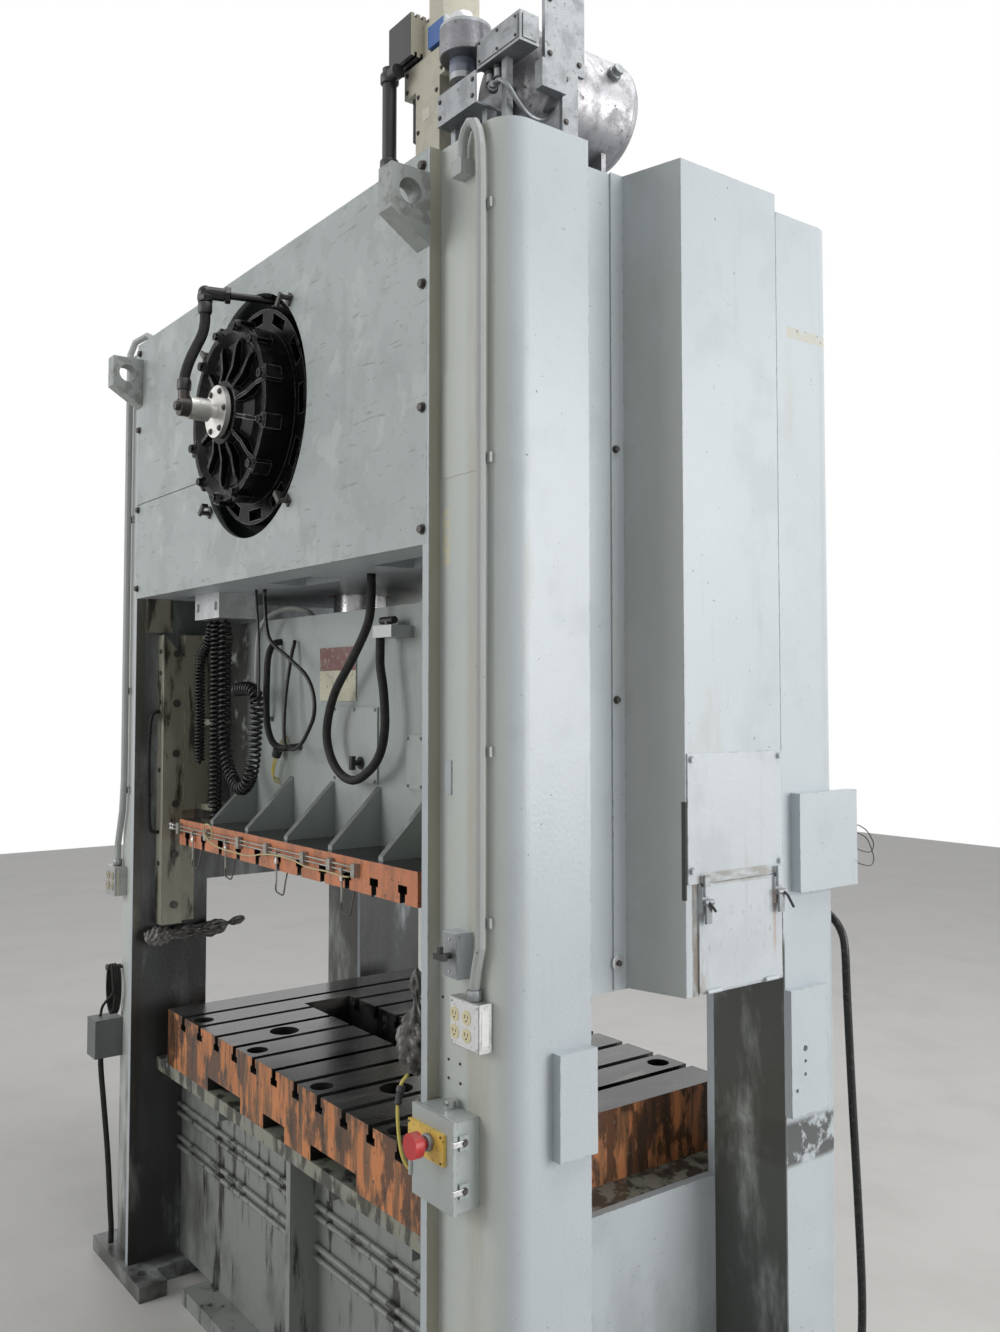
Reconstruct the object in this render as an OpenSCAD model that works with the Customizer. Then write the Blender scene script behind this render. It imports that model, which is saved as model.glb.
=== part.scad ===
// Straight-side mechanical stamping press, in millimetres.
// Origin: floor level, at the centre of the bed. +Z is up and -Y is the operator's front.

/* [Frame] */
// Width over the four columns
frame_w = 2640; // [2400:10:2900]
// Depth over the four columns
frame_d = 1244; // [1160:2:1400]
// Height of the columns and the crown
frame_h = 3640; // [3500:10:3900]
// Width and depth of one box column
col_w = 264; // [220:2:300]
// Radius of a column's outer corners
col_r = 75; // [20:1:90]
// Wall of a box column
col_wall = 10; // [6:1:16]
// Thickness of the upright plates
upright_t = 28; // [20:1:40]
// How far the upright plates stand proud of the columns
upright_proud = 38; // [24:1:60]
// Top of the side windows
window_top = 1506; // [1400:2:1600]

/* [Feet] */
// Thickness of the foot plates
foot_t = 57; // [40:1:80]
// How far a foot plate reaches out past the columns
foot_out = 48; // [30:1:80]
// How far a foot plate reaches in past the upright plate
foot_in = 192; // [150:2:240]
// How far a foot plate reaches past the upright plate at the front and back
foot_front = 23; // [10:1:60]
// Anchor hole diameter
anchor_d = 46; // [30:1:60]
// Distance from the upright plate's inner face in to the anchor holes
anchor_in = 88; // [50:2:130]
// Distance from the foot's front edge back to the anchor holes
anchor_edge = 53; // [45:1:80]

/* [Bed] */
// Height of the bed top above the floor
bed_top = 831; // [780:1:880]
// Thickness of the bed top plate
bed_top_t = 46; // [30:1:60]
// Depth of the bed top plate
bed_d = 1112; // [1060:2:1160]
// Distance over the bed's front and rear walls
bed_wall_d = 904; // [860:2:960]
// Thickness of the bed walls
bed_wall_t = 28; // [20:1:40]
// Width of the bed's lower flange
bed_base_w = 1480; // [1300:10:1600]
// Place of the single front gusset across the bed
bed_gusset_x = 100; // [-300:10:300]

/* [Bolster] */
// Width of the bolster
bolster_w = 1828; // [1760:2:1850]
// Thickness of the bolster
bolster_t = 208; // [160:1:260]
// Width of the scrap opening
scrap_w = 1348; // [1000:2:1400]
// Depth of the scrap opening
scrap_d = 200; // [120:2:260]
// Height of the lift pockets
pocket_h = 50; // [30:1:60]
// Depth of the lift pockets
pocket_d = 90; // [50:1:110]

/* [T-slots] */
// Distance between T-slots
slot_pitch = 152.4; // [140:0.1:160]
// Number of T-slots
slot_count = 11; // [5:2:11]
// Width of a T-slot's mouth
slot_mouth = 27; // [20:1:32]
// Width of a T-slot's head
slot_head = 46; // [38:1:56]
// Depth of a T-slot's mouth
slot_mouth_h = 28; // [20:1:32]
// Depth of a whole T-slot
slot_h = 50; // [42:1:60]

/* [Slide] */
// Gap between the raised slide's top and the crown
head_gap = 101; // [60:1:140]
// Stroke of the slide
stroke = 152; // [100:1:200]
// Width of the slide's T-slot plate
plate_w = 1676; // [1640:2:1700]
// Depth of the slide's T-slot plate
plate_d = 1098; // [1040:2:1120]
// Thickness of the slide's T-slot plate
plate_t = 96; // [80:1:120]
// Depth of the slide body
body_d = 696; // [640:2:740]
// Height of the slide body above its plate
body_h = 751; // [700:1:790]
// Wall of the slide body
body_wall = 30; // [20:1:40]
// Distance between the gussets
gusset_pitch = 300; // [260:2:320]
// Height of a gusset
gusset_h = 184; // [120:2:240]
// Thickness of a gusset
gusset_t = 25; // [16:1:32]
// How far a gusset stays back from the plate's edge
gusset_back = 28; // [10:1:60]

/* [Slide guides] */
// Depth of a gib rail
gib_d = 83; // [60:1:95]
// Width of a gib rail
gib_w = 68; // [50:1:90]
// Bottom of the gib rails
gib_bottom = 1352; // [1280:2:1400]
// Width of a guide shoe
shoe_w = 60; // [40:1:70]
// Depth of a guide shoe
shoe_d = 110; // [80:2:130]
// Running clearance of the slide
guide_gap = 0.3; // [0.2:0.1:1]

/* [Crown] */
// Height of the crown from its underside to its top
crown_h = 1015; // [960:5:1100]
// Thickness of the crown's plates
crown_t = 30; // [20:1:40]
// Thickness of the bolted front cover
cover_t = 15; // [10:1:20]
// Radius of the round opening in the front cover
opening_r = 394; // [360:1:420]
// Half width of the front cover
cover_half = 1045; // [1030:1:1056]
// Height of the drive shaft above the crown's underside
shaft_up = 524; // [480:1:560]

/* [Drive] */
// Radius of the flywheel
flywheel_r = 372; // [362:1:385]
// Thickness of the flywheel rim
flywheel_t = 110; // [80:1:130]
// Radius of the clutch cover's rim
clutch_r = 280; // [260:1:290]
// Outer radius of the clutch cover's base ring
base_ring_r = 348; // [330:1:350]
// How far the clutch cover's bolted lugs stand out of its drum
lug_out = 15; // [8:1:18]
// Depth of the clutch cover from the flywheel's face to its hub
clutch_depth = 158; // [140:1:170]
// Number of ribs on the clutch cover
clutch_ribs = 12; // [8:1:16]
// Radius of the drive shaft
shaft_r = 60; // [45:1:70]
// Radius of a slide plunger
plunger_r = 100; // [80:1:110]
// Distance from the centre to a plunger
plunger_x = 430; // [380:5:480]

/* [Side covers] */
// How far a side cover stands out of the columns
side_out = 146; // [100:2:180]
// Half depth of a side cover at its outer wall
side_half_out = 179; // [150:1:200]
// Half depth of a side cover at its root
side_half_root = 224; // [205:1:240]
// How far the side panels lie inside the columns' faces
side_recess = 25; // [15:1:60]
// Bottom of the side covers
side_bottom = 1510; // [1480:2:1560]
// Distance from the frame's top down to the side covers
side_drop = 48; // [20:2:120]
// Sheet thickness of the covers
sheet_t = 5; // [3:1:6]
// Height of the seam between the two access covers
access_seam = 1782; // [1700:2:1850]
// Top of the upper access cover
access_top = 2102; // [2000:2:2200]

/* [Hidden] */
$fn = 48;
paint = "#b9c0c4";
orange = "#d97a4a";
half_w = frame_w / 2;
half_d = frame_d / 2;
col_in = half_w - col_w;
upright_in = col_in - upright_t;
proud_y = half_d + upright_proud;
window_y = half_d - col_w;
anchor_x = upright_in - anchor_in;
anchor_y = proud_y + foot_front - anchor_edge;
bolster_d = bed_d;
bolster_top = bed_top + bolster_t;
crown_bottom = frame_h - crown_h;
shaft_z = crown_bottom + shaft_up;
body_top = crown_bottom - head_gap;
plate_top = body_top - body_h;
plate_bottom = plate_top - plate_t;
body_half = body_d / 2;
gib_y = window_y + 131;
gib_top = crown_bottom - 141;
gib_slant = 90;
gib_face = upright_in - gib_w;
shoe_y = gib_y - guide_gap;
cover_y = proud_y - cover_t;
flywheel_y = -600;
fit = 0.3;
shoe_gap = 16;
liner_t = shoe_gap - guide_gap;
supply_z = shaft_z + opening_r - 17.5;
rim_z = clutch_depth - 18;
pipe_levels = [468, 504, 596, 632];
pipe_r = 9;
front_wall_y = cover_y - crown_t;
web_y = 430;
panel_x = half_w - side_recess;
side_x = half_w + side_out;
side_top = frame_h - side_drop;
shoe_x = upright_in - shoe_gap - shoe_w;
slot_half = (slot_count - 1) / 2;
wrap_r = 36;
latch_places = [-120, 152];
latch_z = access_seam - 44;
hinge_r = 5;
hinge_z = side_bottom + 2 + hinge_r;

// A block given by its lowest and highest corners
module block(low, high) {
    translate(low) cube(high - low);
}

// The children and their mirror image across the press
module both_sides() {
    children();
    mirror([1, 0, 0]) children();
}

// The children and their mirror image from front to back
module both_ends() {
    children();
    mirror([0, 1, 0]) children();
}

// A round bar along Y
module bar_y(x, z, y0, y1, r) {
    translate([x, y0, z]) rotate([-90, 0, 0]) cylinder(h = y1 - y0, r = r);
}

// A round bar along X
module bar_x(y, z, x0, x1, r) {
    translate([x0, y, z]) rotate([0, 90, 0]) cylinder(h = x1 - x0, r = r);
}

// A round bar along Z
module bar_z(x, y, z0, z1, r) {
    translate([x, y, z0]) cylinder(h = z1 - z0, r = r);
}

// A round bar between two points
module rod(a, b, r) {
    d = b - a;
    translate(a) rotate([0, acos(d[2] / norm(d)), atan2(d[1], d[0])]) cylinder(h = norm(d), r = r);
}

// A hexagon bolt head with its washer on a face whose normal is -Y
module head_y(x, y, z, r) {
    bar_y(x, z, y - 3, y, r * 1.25);
    translate([x, y - 3, z]) rotate([90, 0, 0]) cylinder(h = r * 0.8, r = r, $fn = 6);
}

// A hexagon bolt head with its washer on a face whose normal is +X
module head_x(x, y, z, r) {
    bar_x(y, z, x, x + 3, r * 1.25);
    translate([x + 3, y, z]) rotate([0, 90, 0]) cylinder(h = r * 0.8, r = r, $fn = 6);
}

// Sweeps a round tube along a route, as one closed mesh with flat ends
function unit(v) = v / norm(v);
function heading(p, i) = unit(p[min(i + 1, len(p) - 1)] - p[max(i - 1, 0)]);
function side_of(t) = unit(cross(t, abs(t[1]) > 0.9 ? [1, 0, 0] : [0, 1, 0]));
function ring(p, i, r, n) = let (t = heading(p, i), a = side_of(t), b = cross(t, a))
    [for (k = [0 : n - 1]) p[i] + r * (cos(360 * k / n) * a + sin(360 * k / n) * b)];
module tube(p, r, n = 8) {
    m = len(p);
    points = [for (i = [0 : m - 1]) each ring(p, i, r, n)];
    walls = [for (i = [0 : m - 2], k = [0 : n - 1])
        [(i + 1) * n + k, (i + 1) * n + (k + 1) % n, i * n + (k + 1) % n, i * n + k]];
    ends = [[for (k = [0 : n - 1]) k], [for (k = [n - 1 : -1 : 0]) (m - 1) * n + k]];
    polyhedron(points, concat(walls, ends));
}

// Feet and bed
module feet() {
    color(paint) both_sides() difference() {
        block([upright_in - foot_in, -proud_y - foot_front, 0], [half_w + foot_out, proud_y + foot_front, foot_t]);
        for (y = [-anchor_y, anchor_y]) translate([anchor_x, y, -1]) cylinder(h = foot_t + 2, d = anchor_d);
        block([0, -anchor_y + 53, -1], [upright_in - foot_in + 110, anchor_y - 53, foot_t + 1]);
    }
}

module bed_weldment() {
    wall_y = bed_wall_d / 2;
    color(paint) difference() {
        union() {
            block([-bed_base_w / 2, -bed_d / 2, 0], [bed_base_w / 2, bed_d / 2, foot_t]);
            both_ends() {
                block([-upright_in, -wall_y, foot_t], [upright_in, -wall_y + bed_wall_t, bed_top - bed_top_t]);
            }
            for (x = [-scrap_w / 2 - 12 - bed_wall_t, scrap_w / 2 + 12])
                block([x, -wall_y, foot_t], [x + bed_wall_t, wall_y, bed_top - bed_top_t]);
            bed_gusset();
            for (x = [-585, 250, 720]) bed_ear(x);
        }
        for (z = pipe_levels) bar_x(-wall_y - pipe_r, z, bed_gusset_x - 20, bed_gusset_x + 20, pipe_r + fit);
    }
}

// The single upright gusset under the bed top's front edge
module bed_gusset() {
    wall_y = bed_wall_d / 2;
    block([bed_gusset_x - 14, -bed_d / 2 + 4, foot_t], [bed_gusset_x + 14, -wall_y + 1, bed_top - bed_top_t]);
}

// A small drilled ear under the bed top plate
module bed_ear(x) {
    wall_y = bed_wall_d / 2;
    translate([x, 0, 0]) difference() {
        block([-8, -wall_y - 40, bed_top - bed_top_t - 90], [8, -wall_y + 1, bed_top - bed_top_t]);
        bar_x(-wall_y - 20, bed_top - bed_top_t - 62, -10, 10, 12);
    }
}

module bed_top_plate() {
    color("#8f8a72") difference() {
        block([-upright_in, -bed_d / 2, bed_top - bed_top_t], [upright_in, bed_d / 2, bed_top]);
        block([-scrap_w / 2, -scrap_d / 2, bed_top - bed_top_t - 1], [scrap_w / 2, scrap_d / 2, bed_top + 1]);
    }
}

module bed_pipes() {
    wall_y = bed_wall_d / 2;
    color("#7f8a86") for (z = pipe_levels) bar_x(-wall_y - pipe_r, z, -upright_in, upright_in, pipe_r);
}

// A T-slot from the front to the back, opening towards +Z at z = 0
module t_slot(length) {
    block([-slot_mouth / 2, -length / 2, -slot_mouth_h - 1], [slot_mouth / 2, length / 2, 1]);
    block([-slot_head / 2, -length / 2, -slot_h], [slot_head / 2, length / 2, -slot_mouth_h]);
}

module bolster() {
    color(orange) difference() {
        block([-bolster_w / 2, -bolster_d / 2, bed_top], [bolster_w / 2, bolster_d / 2, bolster_top]);
        block([-scrap_w / 2, -scrap_d / 2, bed_top - 1], [scrap_w / 2, scrap_d / 2, bolster_top + 1]);
        for (i = [-slot_half : slot_half]) translate([i * slot_pitch, 0, bolster_top]) t_slot(bolster_d + 2);
        for (x = [-2.5 * slot_pitch, 2.5 * slot_pitch], y = [-330, 330])
            translate([x, y, bolster_top - 120]) cylinder(h = 121, r = 52);
        for (x = [-4.5, -1.5, 1.5, 4.5], y = [-506, 490])
            translate([x * slot_pitch, y, bolster_top - 90]) cylinder(h = 91, r = 36);
        both_ends() for (x = [[-530, -253], [-77, 77], [253, 530]])
            block([x[0], -bolster_d / 2 - 1, bed_top - 1], [x[1], -bolster_d / 2 + pocket_d, bed_top + pocket_h]);
    }
}

// Frame sides
module upright(side) {
    color(paint) scale([side, 1, 1]) difference() {
        block([upright_in, -proud_y, foot_t], [col_in, proud_y, frame_h]);
        block([upright_in - 1, -window_y, bed_top], [col_in + 1, window_y, window_top]);
        block([upright_in - 1, -proud_y - 1, crown_bottom], [cover_half + fit, -cover_y, frame_h + 1]);
    }
}
module upright_left() { mirror([1, 0, 0]) upright(1); }
module upright_right() { upright(1); }

// Section of a box column with one round outer corner, root at x = 0
module column_section(w, d, r) {
    square([w - r, d]);
    translate([0, r]) square([w, d - r]);
    translate([w - r, r]) circle(r);
}

module column() {
    color(paint) translate([col_in, -half_d, foot_t]) difference() {
        linear_extrude(frame_h - foot_t) column_section(col_w, col_w, col_r);
        translate([col_wall, col_wall, -1]) linear_extrude(frame_h - foot_t - col_wall)
            column_section(col_w - 2 * col_wall, col_w - 2 * col_wall, col_r - col_wall);
    }
}
module front_columns() { both_sides() column(); }
module rear_columns() { mirror([0, 1, 0]) both_sides() column(); }

module side_panels() {
    color(paint) both_sides() {
        block([panel_x - 10, -window_y, window_top], [panel_x, window_y, side_top - 3]);
        block([col_in, -window_y, window_top], [panel_x - 10, window_y, window_top + 8]);
        block([col_in, -window_y, side_top - 11], [panel_x - 10, window_y, side_top - 3]);
    }
}

// Half outline of a side cover's folded sheet, from its flange to its outer wall
module side_outline(grow) {
    polygon([[panel_x, -side_half_root + grow], [side_x - grow, -side_half_out + grow],
        [side_x - grow, side_half_out - grow], [panel_x, side_half_root - grow]]);
}

module side_cover() {
    difference() {
        union() {
            translate([0, 0, side_bottom]) linear_extrude(side_top - side_bottom) side_outline(0);
            block([panel_x, -side_half_root - 40, side_bottom], [panel_x + sheet_t, side_half_root + 40, side_top]);
        }
        translate([0, 0, side_bottom + sheet_t]) linear_extrude(side_top - side_bottom - 2 * sheet_t)
            side_outline(sheet_t);
    }
}
module side_cover_left() { color(paint) mirror([1, 0, 0]) side_cover(); }
module side_cover_right() {
    color(paint) difference() {
        side_cover();
        block([side_x - 20, -110, side_bottom + 30], [side_x + 1, 145, access_seam - 30]);
        block([side_x - 20, -145, access_seam + 30], [side_x + 1, 145, access_top - 30]);
    }
}

module upper_access_cover() {
    color(paint) {
        block([side_x, -174, access_seam + 1], [side_x + 4, 176, access_top]);
        for (y = [-162, 164], z = [access_seam + 34, access_top - 14]) head_x(side_x + 4, y, z, 7);
    }
    color("#77736b") for (y = latch_places)
        block([side_x + 4, y - 12, access_seam + 4], [side_x + 12 - fit, y + 12, access_seam + 20]);
}

module lower_access_cover() {
    color(paint) {
        block([side_x + fit, -137, hinge_z], [side_x + 4.5, 172, access_seam - 1]);
        for (y = [-90, 125]) bar_y(side_x + 8, hinge_z, y - 25, y + 25, hinge_r);
    }
    color("#77736b") for (y = latch_places) {
        block([side_x + 4.5, y - 14, access_seam - 74], [side_x + 12, y + 14, access_seam - 6]);
        block([side_x + 12, y - 9, access_seam - 30], [side_x + 18, y + 9, access_seam + 22]);
    }
}

// The turning lever of a draw latch on the lower cover
module draw_latch(y) {
    x = side_x + 12 + fit + 7;
    color("#77736b") {
        bar_y(x, latch_z, y - 15, y + 15, 7);
        block([x - 3, y - 10, latch_z - 52], [x + 3, y + 10, latch_z]);
    }
}
module draw_latch_near() { draw_latch(latch_places[0]); }
module draw_latch_far() { draw_latch(latch_places[1]); }

// Crown
module crown_plates() {
    color(paint) block([-upright_in, -cover_y, frame_h - crown_t], [upright_in, cover_y, frame_h]);
    color(paint) difference() {
        block([-upright_in, -cover_y, crown_bottom], [upright_in, cover_y, crown_bottom + crown_t]);
        for (x = [-plunger_x, plunger_x])
            translate([x, 0, crown_bottom - 1]) cylinder(h = crown_t + 2, r = plunger_r + 22);
        for (x = [-700, 0, 700]) block([x - 150, -520, crown_bottom - 1], [x + 150, -380, crown_bottom + crown_t + 1]);
    }
}

module crown_walls() {
    color(paint) {
        difference() {
            block([-upright_in, -cover_y, crown_bottom + crown_t], [upright_in, -front_wall_y, frame_h - crown_t]);
            bar_y(0, shaft_z, -cover_y - 1, -front_wall_y + 1, opening_r + 30);
        }
        block([-upright_in, front_wall_y, crown_bottom + crown_t], [upright_in, cover_y, frame_h - crown_t]);
    }
}

module crown_webs() {
    color(paint) both_ends() difference() {
        block([-upright_in, -web_y - 20, crown_bottom + crown_t], [upright_in, -web_y + 20, frame_h - crown_t]);
        bar_y(0, shaft_z, -web_y - 21, -web_y + 21, shaft_r + 60);
    }
}

module crown_cover() {
    color(paint) difference() {
        block([-cover_half, -proud_y, crown_bottom], [cover_half, -cover_y, frame_h]);
        bar_y(0, shaft_z, -proud_y - 1, -cover_y + 1, opening_r);
        block([-cover_half - 1, -proud_y - 1, crown_bottom + 369], [-448, -cover_y + 1, crown_bottom + 372]);
    }
}

// One lifting lug, a drilled plate with a tapered underside
module lug() {
    translate([upright_in - 30, 0, 0]) difference() {
        rotate([90, 0, 90]) linear_extrude(62) polygon([[-proud_y, frame_h - 258], [-proud_y, frame_h - 70],
            [-proud_y - 116, frame_h - 70], [-proud_y - 116, frame_h - 185]]);
        bar_x(-proud_y - 60, frame_h - 132, -1, 63, 33);
    }
}
module lifting_lugs() {
    color(paint) both_sides() both_ends() lug();
}

module cover_bolts() {
    strip_z = [side_bottom + 66, side_bottom + 724, side_top - 719];
    color("#2c2c2e") {
        both_sides() for (z = [39, 350, 668, 975]) head_y(upright_in - 2, -proud_y, crown_bottom + z, 11);
        for (z = strip_z, y = [-side_half_root - 28, side_half_root + 28]) head_x(panel_x + sheet_t, y, z, 8);
        both_sides() gib_bolts();
    }
}

// Bolt heads on the gib rails' inner and front faces, and on the upright beside them
module gib_bolts() {
    rail_h = gib_top - gib_bottom;
    both_ends() for (f = [0.066 : 0.1736 : 0.94])
        bar_x(-gib_y - 33, gib_bottom + f * rail_h, gib_face - 9, gib_face, 14);
    for (f = [0.942, 0.866, 0.765, 0.53, 0.209])
        bar_y(gib_face + gib_w / 2, gib_bottom + f * rail_h, -gib_y - gib_d - 5, -gib_y - gib_d, 9);
    for (f = [0.659, 0.444]) bar_x(-gib_y - 112, gib_bottom + f * rail_h, upright_in - 6, upright_in, 8);
}

// Drive
module flywheel() {
    hub_back = flywheel_y + flywheel_t + 20;
    color("#2a2b2e") difference() {
        union() {
            bar_y(0, shaft_z, flywheel_y, flywheel_y + flywheel_t, flywheel_r);
            bar_y(0, shaft_z, flywheel_y, hub_back, 130);
        }
        bar_y(0, shaft_z, flywheel_y - 1, hub_back + 1, shaft_r + fit);
        difference() {
            bar_y(0, shaft_z, flywheel_y + flywheel_t - 30, flywheel_y + flywheel_t + 1, flywheel_r - 60);
            bar_y(0, shaft_z, flywheel_y + flywheel_t - 31, flywheel_y + flywheel_t + 2, 160);
        }
    }
}

// The clutch cover: a dished disc with radial ribs, bolted lugs round its rim and a windowed base ring
module clutch_cover() {
    step = 360 / clutch_ribs;
    color("#1c1d20") translate([0, flywheel_y, shaft_z]) rotate([90, 0, 0]) difference() {
        union() {
            rotate_extrude($fn = 96) polygon([[shaft_r + fit, 60], [shaft_r + fit, clutch_depth],
                [100, clutch_depth], [108, rim_z - 8], [150, rim_z - 26], [clutch_r - 50, rim_z - 20],
                [clutch_r - 20, rim_z], [clutch_r, rim_z], [clutch_r, 40], [base_ring_r, 40], [base_ring_r, 0],
                [clutch_r - 30, 0], [clutch_r - 30, rim_z - 40], [120, rim_z - 46], [110, 60]]);
            for (k = [0 : clutch_ribs - 1]) rotate((k + 0.5) * step) {
                clutch_rib();
                clutch_lug();
            }
        }
        for (k = [0 : clutch_ribs - 1]) rotate(k * step) translate([base_ring_r - 48, -46, 8]) cube([35, 92, 34]);
    }
}

// One radial rib, falling from the hub to the rim
module clutch_rib() {
    end = clutch_r - 45;
    translate([0, 6, 0]) rotate([90, 0, 0]) linear_extrude(12) polygon([[92, rim_z - 40],
        [92, clutch_depth - 3], [104, clutch_depth - 3], [150, rim_z + 2], [end - 20, rim_z - 1],
        [end, rim_z - 8], [end, rim_z - 32]]);
}

// One rim lug with its washer and bolt head
module clutch_lug() {
    translate([clutch_r - 25, -22, rim_z - 52]) cube([25 + lug_out, 44, 54]);
    translate([clutch_r - 6, 0, rim_z + 2]) cylinder(h = 5, r = 17);
    translate([clutch_r - 6, 0, rim_z + 7]) cylinder(h = 11, r = 14, $fn = 6);
}

module drive_shaft() {
    color("#8b8e92") {
        bar_y(0, shaft_z, flywheel_y - clutch_depth + 44, 560, shaft_r);
        bar_y(0, shaft_z, 100, 260, 100);
    }
}

module shaft_bearings() {
    color("#5d6064") both_ends() difference() {
        union() {
            bar_y(0, shaft_z, -web_y - 20, -web_y + 20, shaft_r + 60);
            bar_y(0, shaft_z, -web_y + 20, -web_y + 50, shaft_r + 90);
        }
        bar_y(0, shaft_z, -web_y - 21, -web_y + 51, shaft_r + 0.1);
    }
}

module hub_flange() {
    hub_y = flywheel_y - clutch_depth;
    color("#b9b7b0") difference() {
        union() {
            bar_y(0, shaft_z, hub_y - 22, hub_y - 6, 83);
            bar_y(0, shaft_z, hub_y - 6, hub_y + 44, shaft_r - 4);
        }
        for (k = [0 : 5]) translate([0, 0, shaft_z]) rotate([0, 60 * k, 0]) bar_y(68, 0, hub_y - 23, hub_y - 5, 5);
    }
}

module rotary_union() {
    y = flywheel_y - clutch_depth - 22;
    color("#c9c8c4") {
        bar_y(0, shaft_z, y - 26, y, 22);
        bar_y(0, shaft_z, y - 90, y - 26, 36);
    }
    color("#8a6a45") {
        bar_y(0, shaft_z, y - 120, y - 90, 30);
        bar_y(0, shaft_z, y - 134, y - 120, 14);
        bar_z(0, y - 104, shaft_z + 20, shaft_z + 50, 19);
    }
}

module union_hose() {
    y = flywheel_y - clutch_depth - 126;
    top = supply_z - 30;
    color("#3a3a38") tube([[0, y, shaft_z + 50], [0, y, shaft_z + 76], [0, y + 4, shaft_z + 106],
        [0, y + 18, shaft_z + 151], [0, y + 38, shaft_z + 196], [0, y + 58, shaft_z + 241],
        [0, y + 66, shaft_z + 281], [0, y + 66, top - 22], [0, y + 66, top]], 17, 12);
}

module supply_pipe() {
    elbow = [0, flywheel_y - clutch_depth - 60, supply_z];
    foot = [81, -front_wall_y + 6, supply_z - 8];
    color("#232323") {
        rod(elbow - [0, 0, 30], elbow, 23);
        translate(elbow) sphere(r = 23);
        rod(elbow, elbow + 0.3 * (foot - elbow), 21);
        rod(elbow + 0.3 * (foot - elbow), foot, 12);
        block([56, -front_wall_y + fit, supply_z - 22], [106, flywheel_y - 3, frame_h - crown_t]);
    }
}

// Slide
module slide_gusset() {
    front_y = plate_d / 2 - gusset_back;
    rotate([90, 0, 90]) linear_extrude(gusset_t) polygon([[-front_y, 0], [-front_y, 12],
        [-body_half, gusset_h], [-body_half, 0]]);
}

module slide_body() {
    color(paint) translate([0, 0, plate_top]) difference() {
        block([-plate_w / 2, -body_half, 0], [plate_w / 2, body_half, body_h]);
        for (x = [-plate_w / 2 + body_wall, 15])
            block([x, -body_half + body_wall, -1], [x + plate_w / 2 - body_wall - 15, body_half - body_wall, body_h - body_wall]);
    }
}

module slide_gussets() {
    color(paint) translate([0, 0, plate_top]) both_ends() for (i = [-2 : 2])
        translate([i * gusset_pitch - gusset_t / 2, 0, 0]) slide_gusset();
}

// Guide shoes with the arms that carry them on the slide's ends
module guide_shoes() {
    x = plate_w / 2;
    color("#8f8a72") translate([0, 0, plate_top + 20]) both_sides() both_ends() {
        block([shoe_x, -shoe_y, 0], [shoe_x + shoe_w, -shoe_y + shoe_d, body_h - 60]);
        for (z = [0, (body_h - 84) / 2, body_h - 84])
            block([x, -shoe_y + 70, z], [shoe_x, -body_half + 50, z + 24]);
    }
}

module slide_plate() {
    color(orange) difference() {
        block([-plate_w / 2, -plate_d / 2, plate_bottom], [plate_w / 2, plate_d / 2, plate_top]);
        for (i = [-slot_half : slot_half])
            translate([i * slot_pitch, 0, plate_bottom]) mirror([0, 0, 1]) t_slot(plate_d + 2);
    }
}

module plungers() {
    color("#9a9c9e") for (x = [-plunger_x, plunger_x]) translate([x, 0, body_top]) {
        cylinder(h = 360, r = plunger_r);
        cylinder(h = 30, r = plunger_r + 10);
    }
}

module plunger_bushes() {
    color("#a98a4f") for (x = [-plunger_x, plunger_x]) translate([x, 0, crown_bottom]) difference() {
        union() {
            cylinder(h = 140, r = plunger_r + 22);
            translate([0, 0, crown_t]) cylinder(h = 20, r = plunger_r + 44);
        }
        translate([0, 0, -1]) cylinder(h = 142, r = plunger_r + guide_gap);
    }
}

module gib_rails() {
    color("#8e8a72") both_sides() both_ends() {
        translate([gib_face, 0, 0]) rotate([90, 0, 90]) linear_extrude(gib_w) polygon([
            [-gib_y - gib_d, gib_bottom], [-gib_y, gib_bottom], [-gib_y, gib_top - gib_slant],
            [-gib_y - gib_d, gib_top]]);
        block([upright_in - liner_t, -gib_y, gib_bottom], [upright_in, -gib_y + 70, gib_top - gib_slant - 5]);
        block([upright_in - 24, -gib_y - 133, gib_top + 8], [upright_in, -gib_y - 33, crown_bottom]);
    }
}

// The bolted panels and the hose block on the slide's front wall
module slide_panel() {
    color(paint) translate([0, -body_half, plate_top]) {
        block([11, -6, 190], [297, 0, 434]);
        for (x = [22, 152, 285], z = [198, 426]) head_y(x, -6, z, 5);
        block([-90, -4, 453], [157, 0, 634]);
        block([470, -6, 189], [563, 0, 353]);
        for (x = [480, 553], z = [199, 343]) head_y(x, -6, z, 4.5);
    }
    color("#9ea3a5") block([392, -body_half - 80, plate_top + 648], [500, -body_half, plate_top + 685]);
    color("#1d1d1e") {
        bar_z(425, -body_half - 45, plate_top + 685, plate_top + 702, 12);
        bar_x(-body_half - 45, plate_top + 702, 388, 462, 12);
    }
}

module panel_knob() {
    knob_z = plate_top + 255;
    color("#222222") {
        bar_y(197, knob_z, -body_half - 12.2, -body_half - 6.2, 20);
        bar_y(197, knob_z, -body_half - 40, -body_half - 12.2, 9);
        block([189, -body_half - 46, knob_z - 22], [205, -body_half - 30, knob_z + 22]);
    }
}

// A swing latch beside the round opening: a post, a pivot ear and a hooked arm
module swing_latch(angle) {
    color("#55524c") translate([0, -proud_y, shaft_z]) rotate([0, -angle, 0]) {
        block([opening_r + 6, -7, -13], [opening_r + 40, -0.3, 13]);
        bar_y(opening_r + 27, 0, -34, -7, 8);
        block([opening_r - 8, -40, -8], [opening_r + 37, -31, 8]);
        block([opening_r - 8, -40, -8], [opening_r - 2, -18, 8]);
    }
}
module swing_latch_1() { swing_latch(48); }
module swing_latch_2() { swing_latch(-48); }
module swing_latch_3() { swing_latch(-139); }
module swing_latch_4() { swing_latch(139); }

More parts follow.
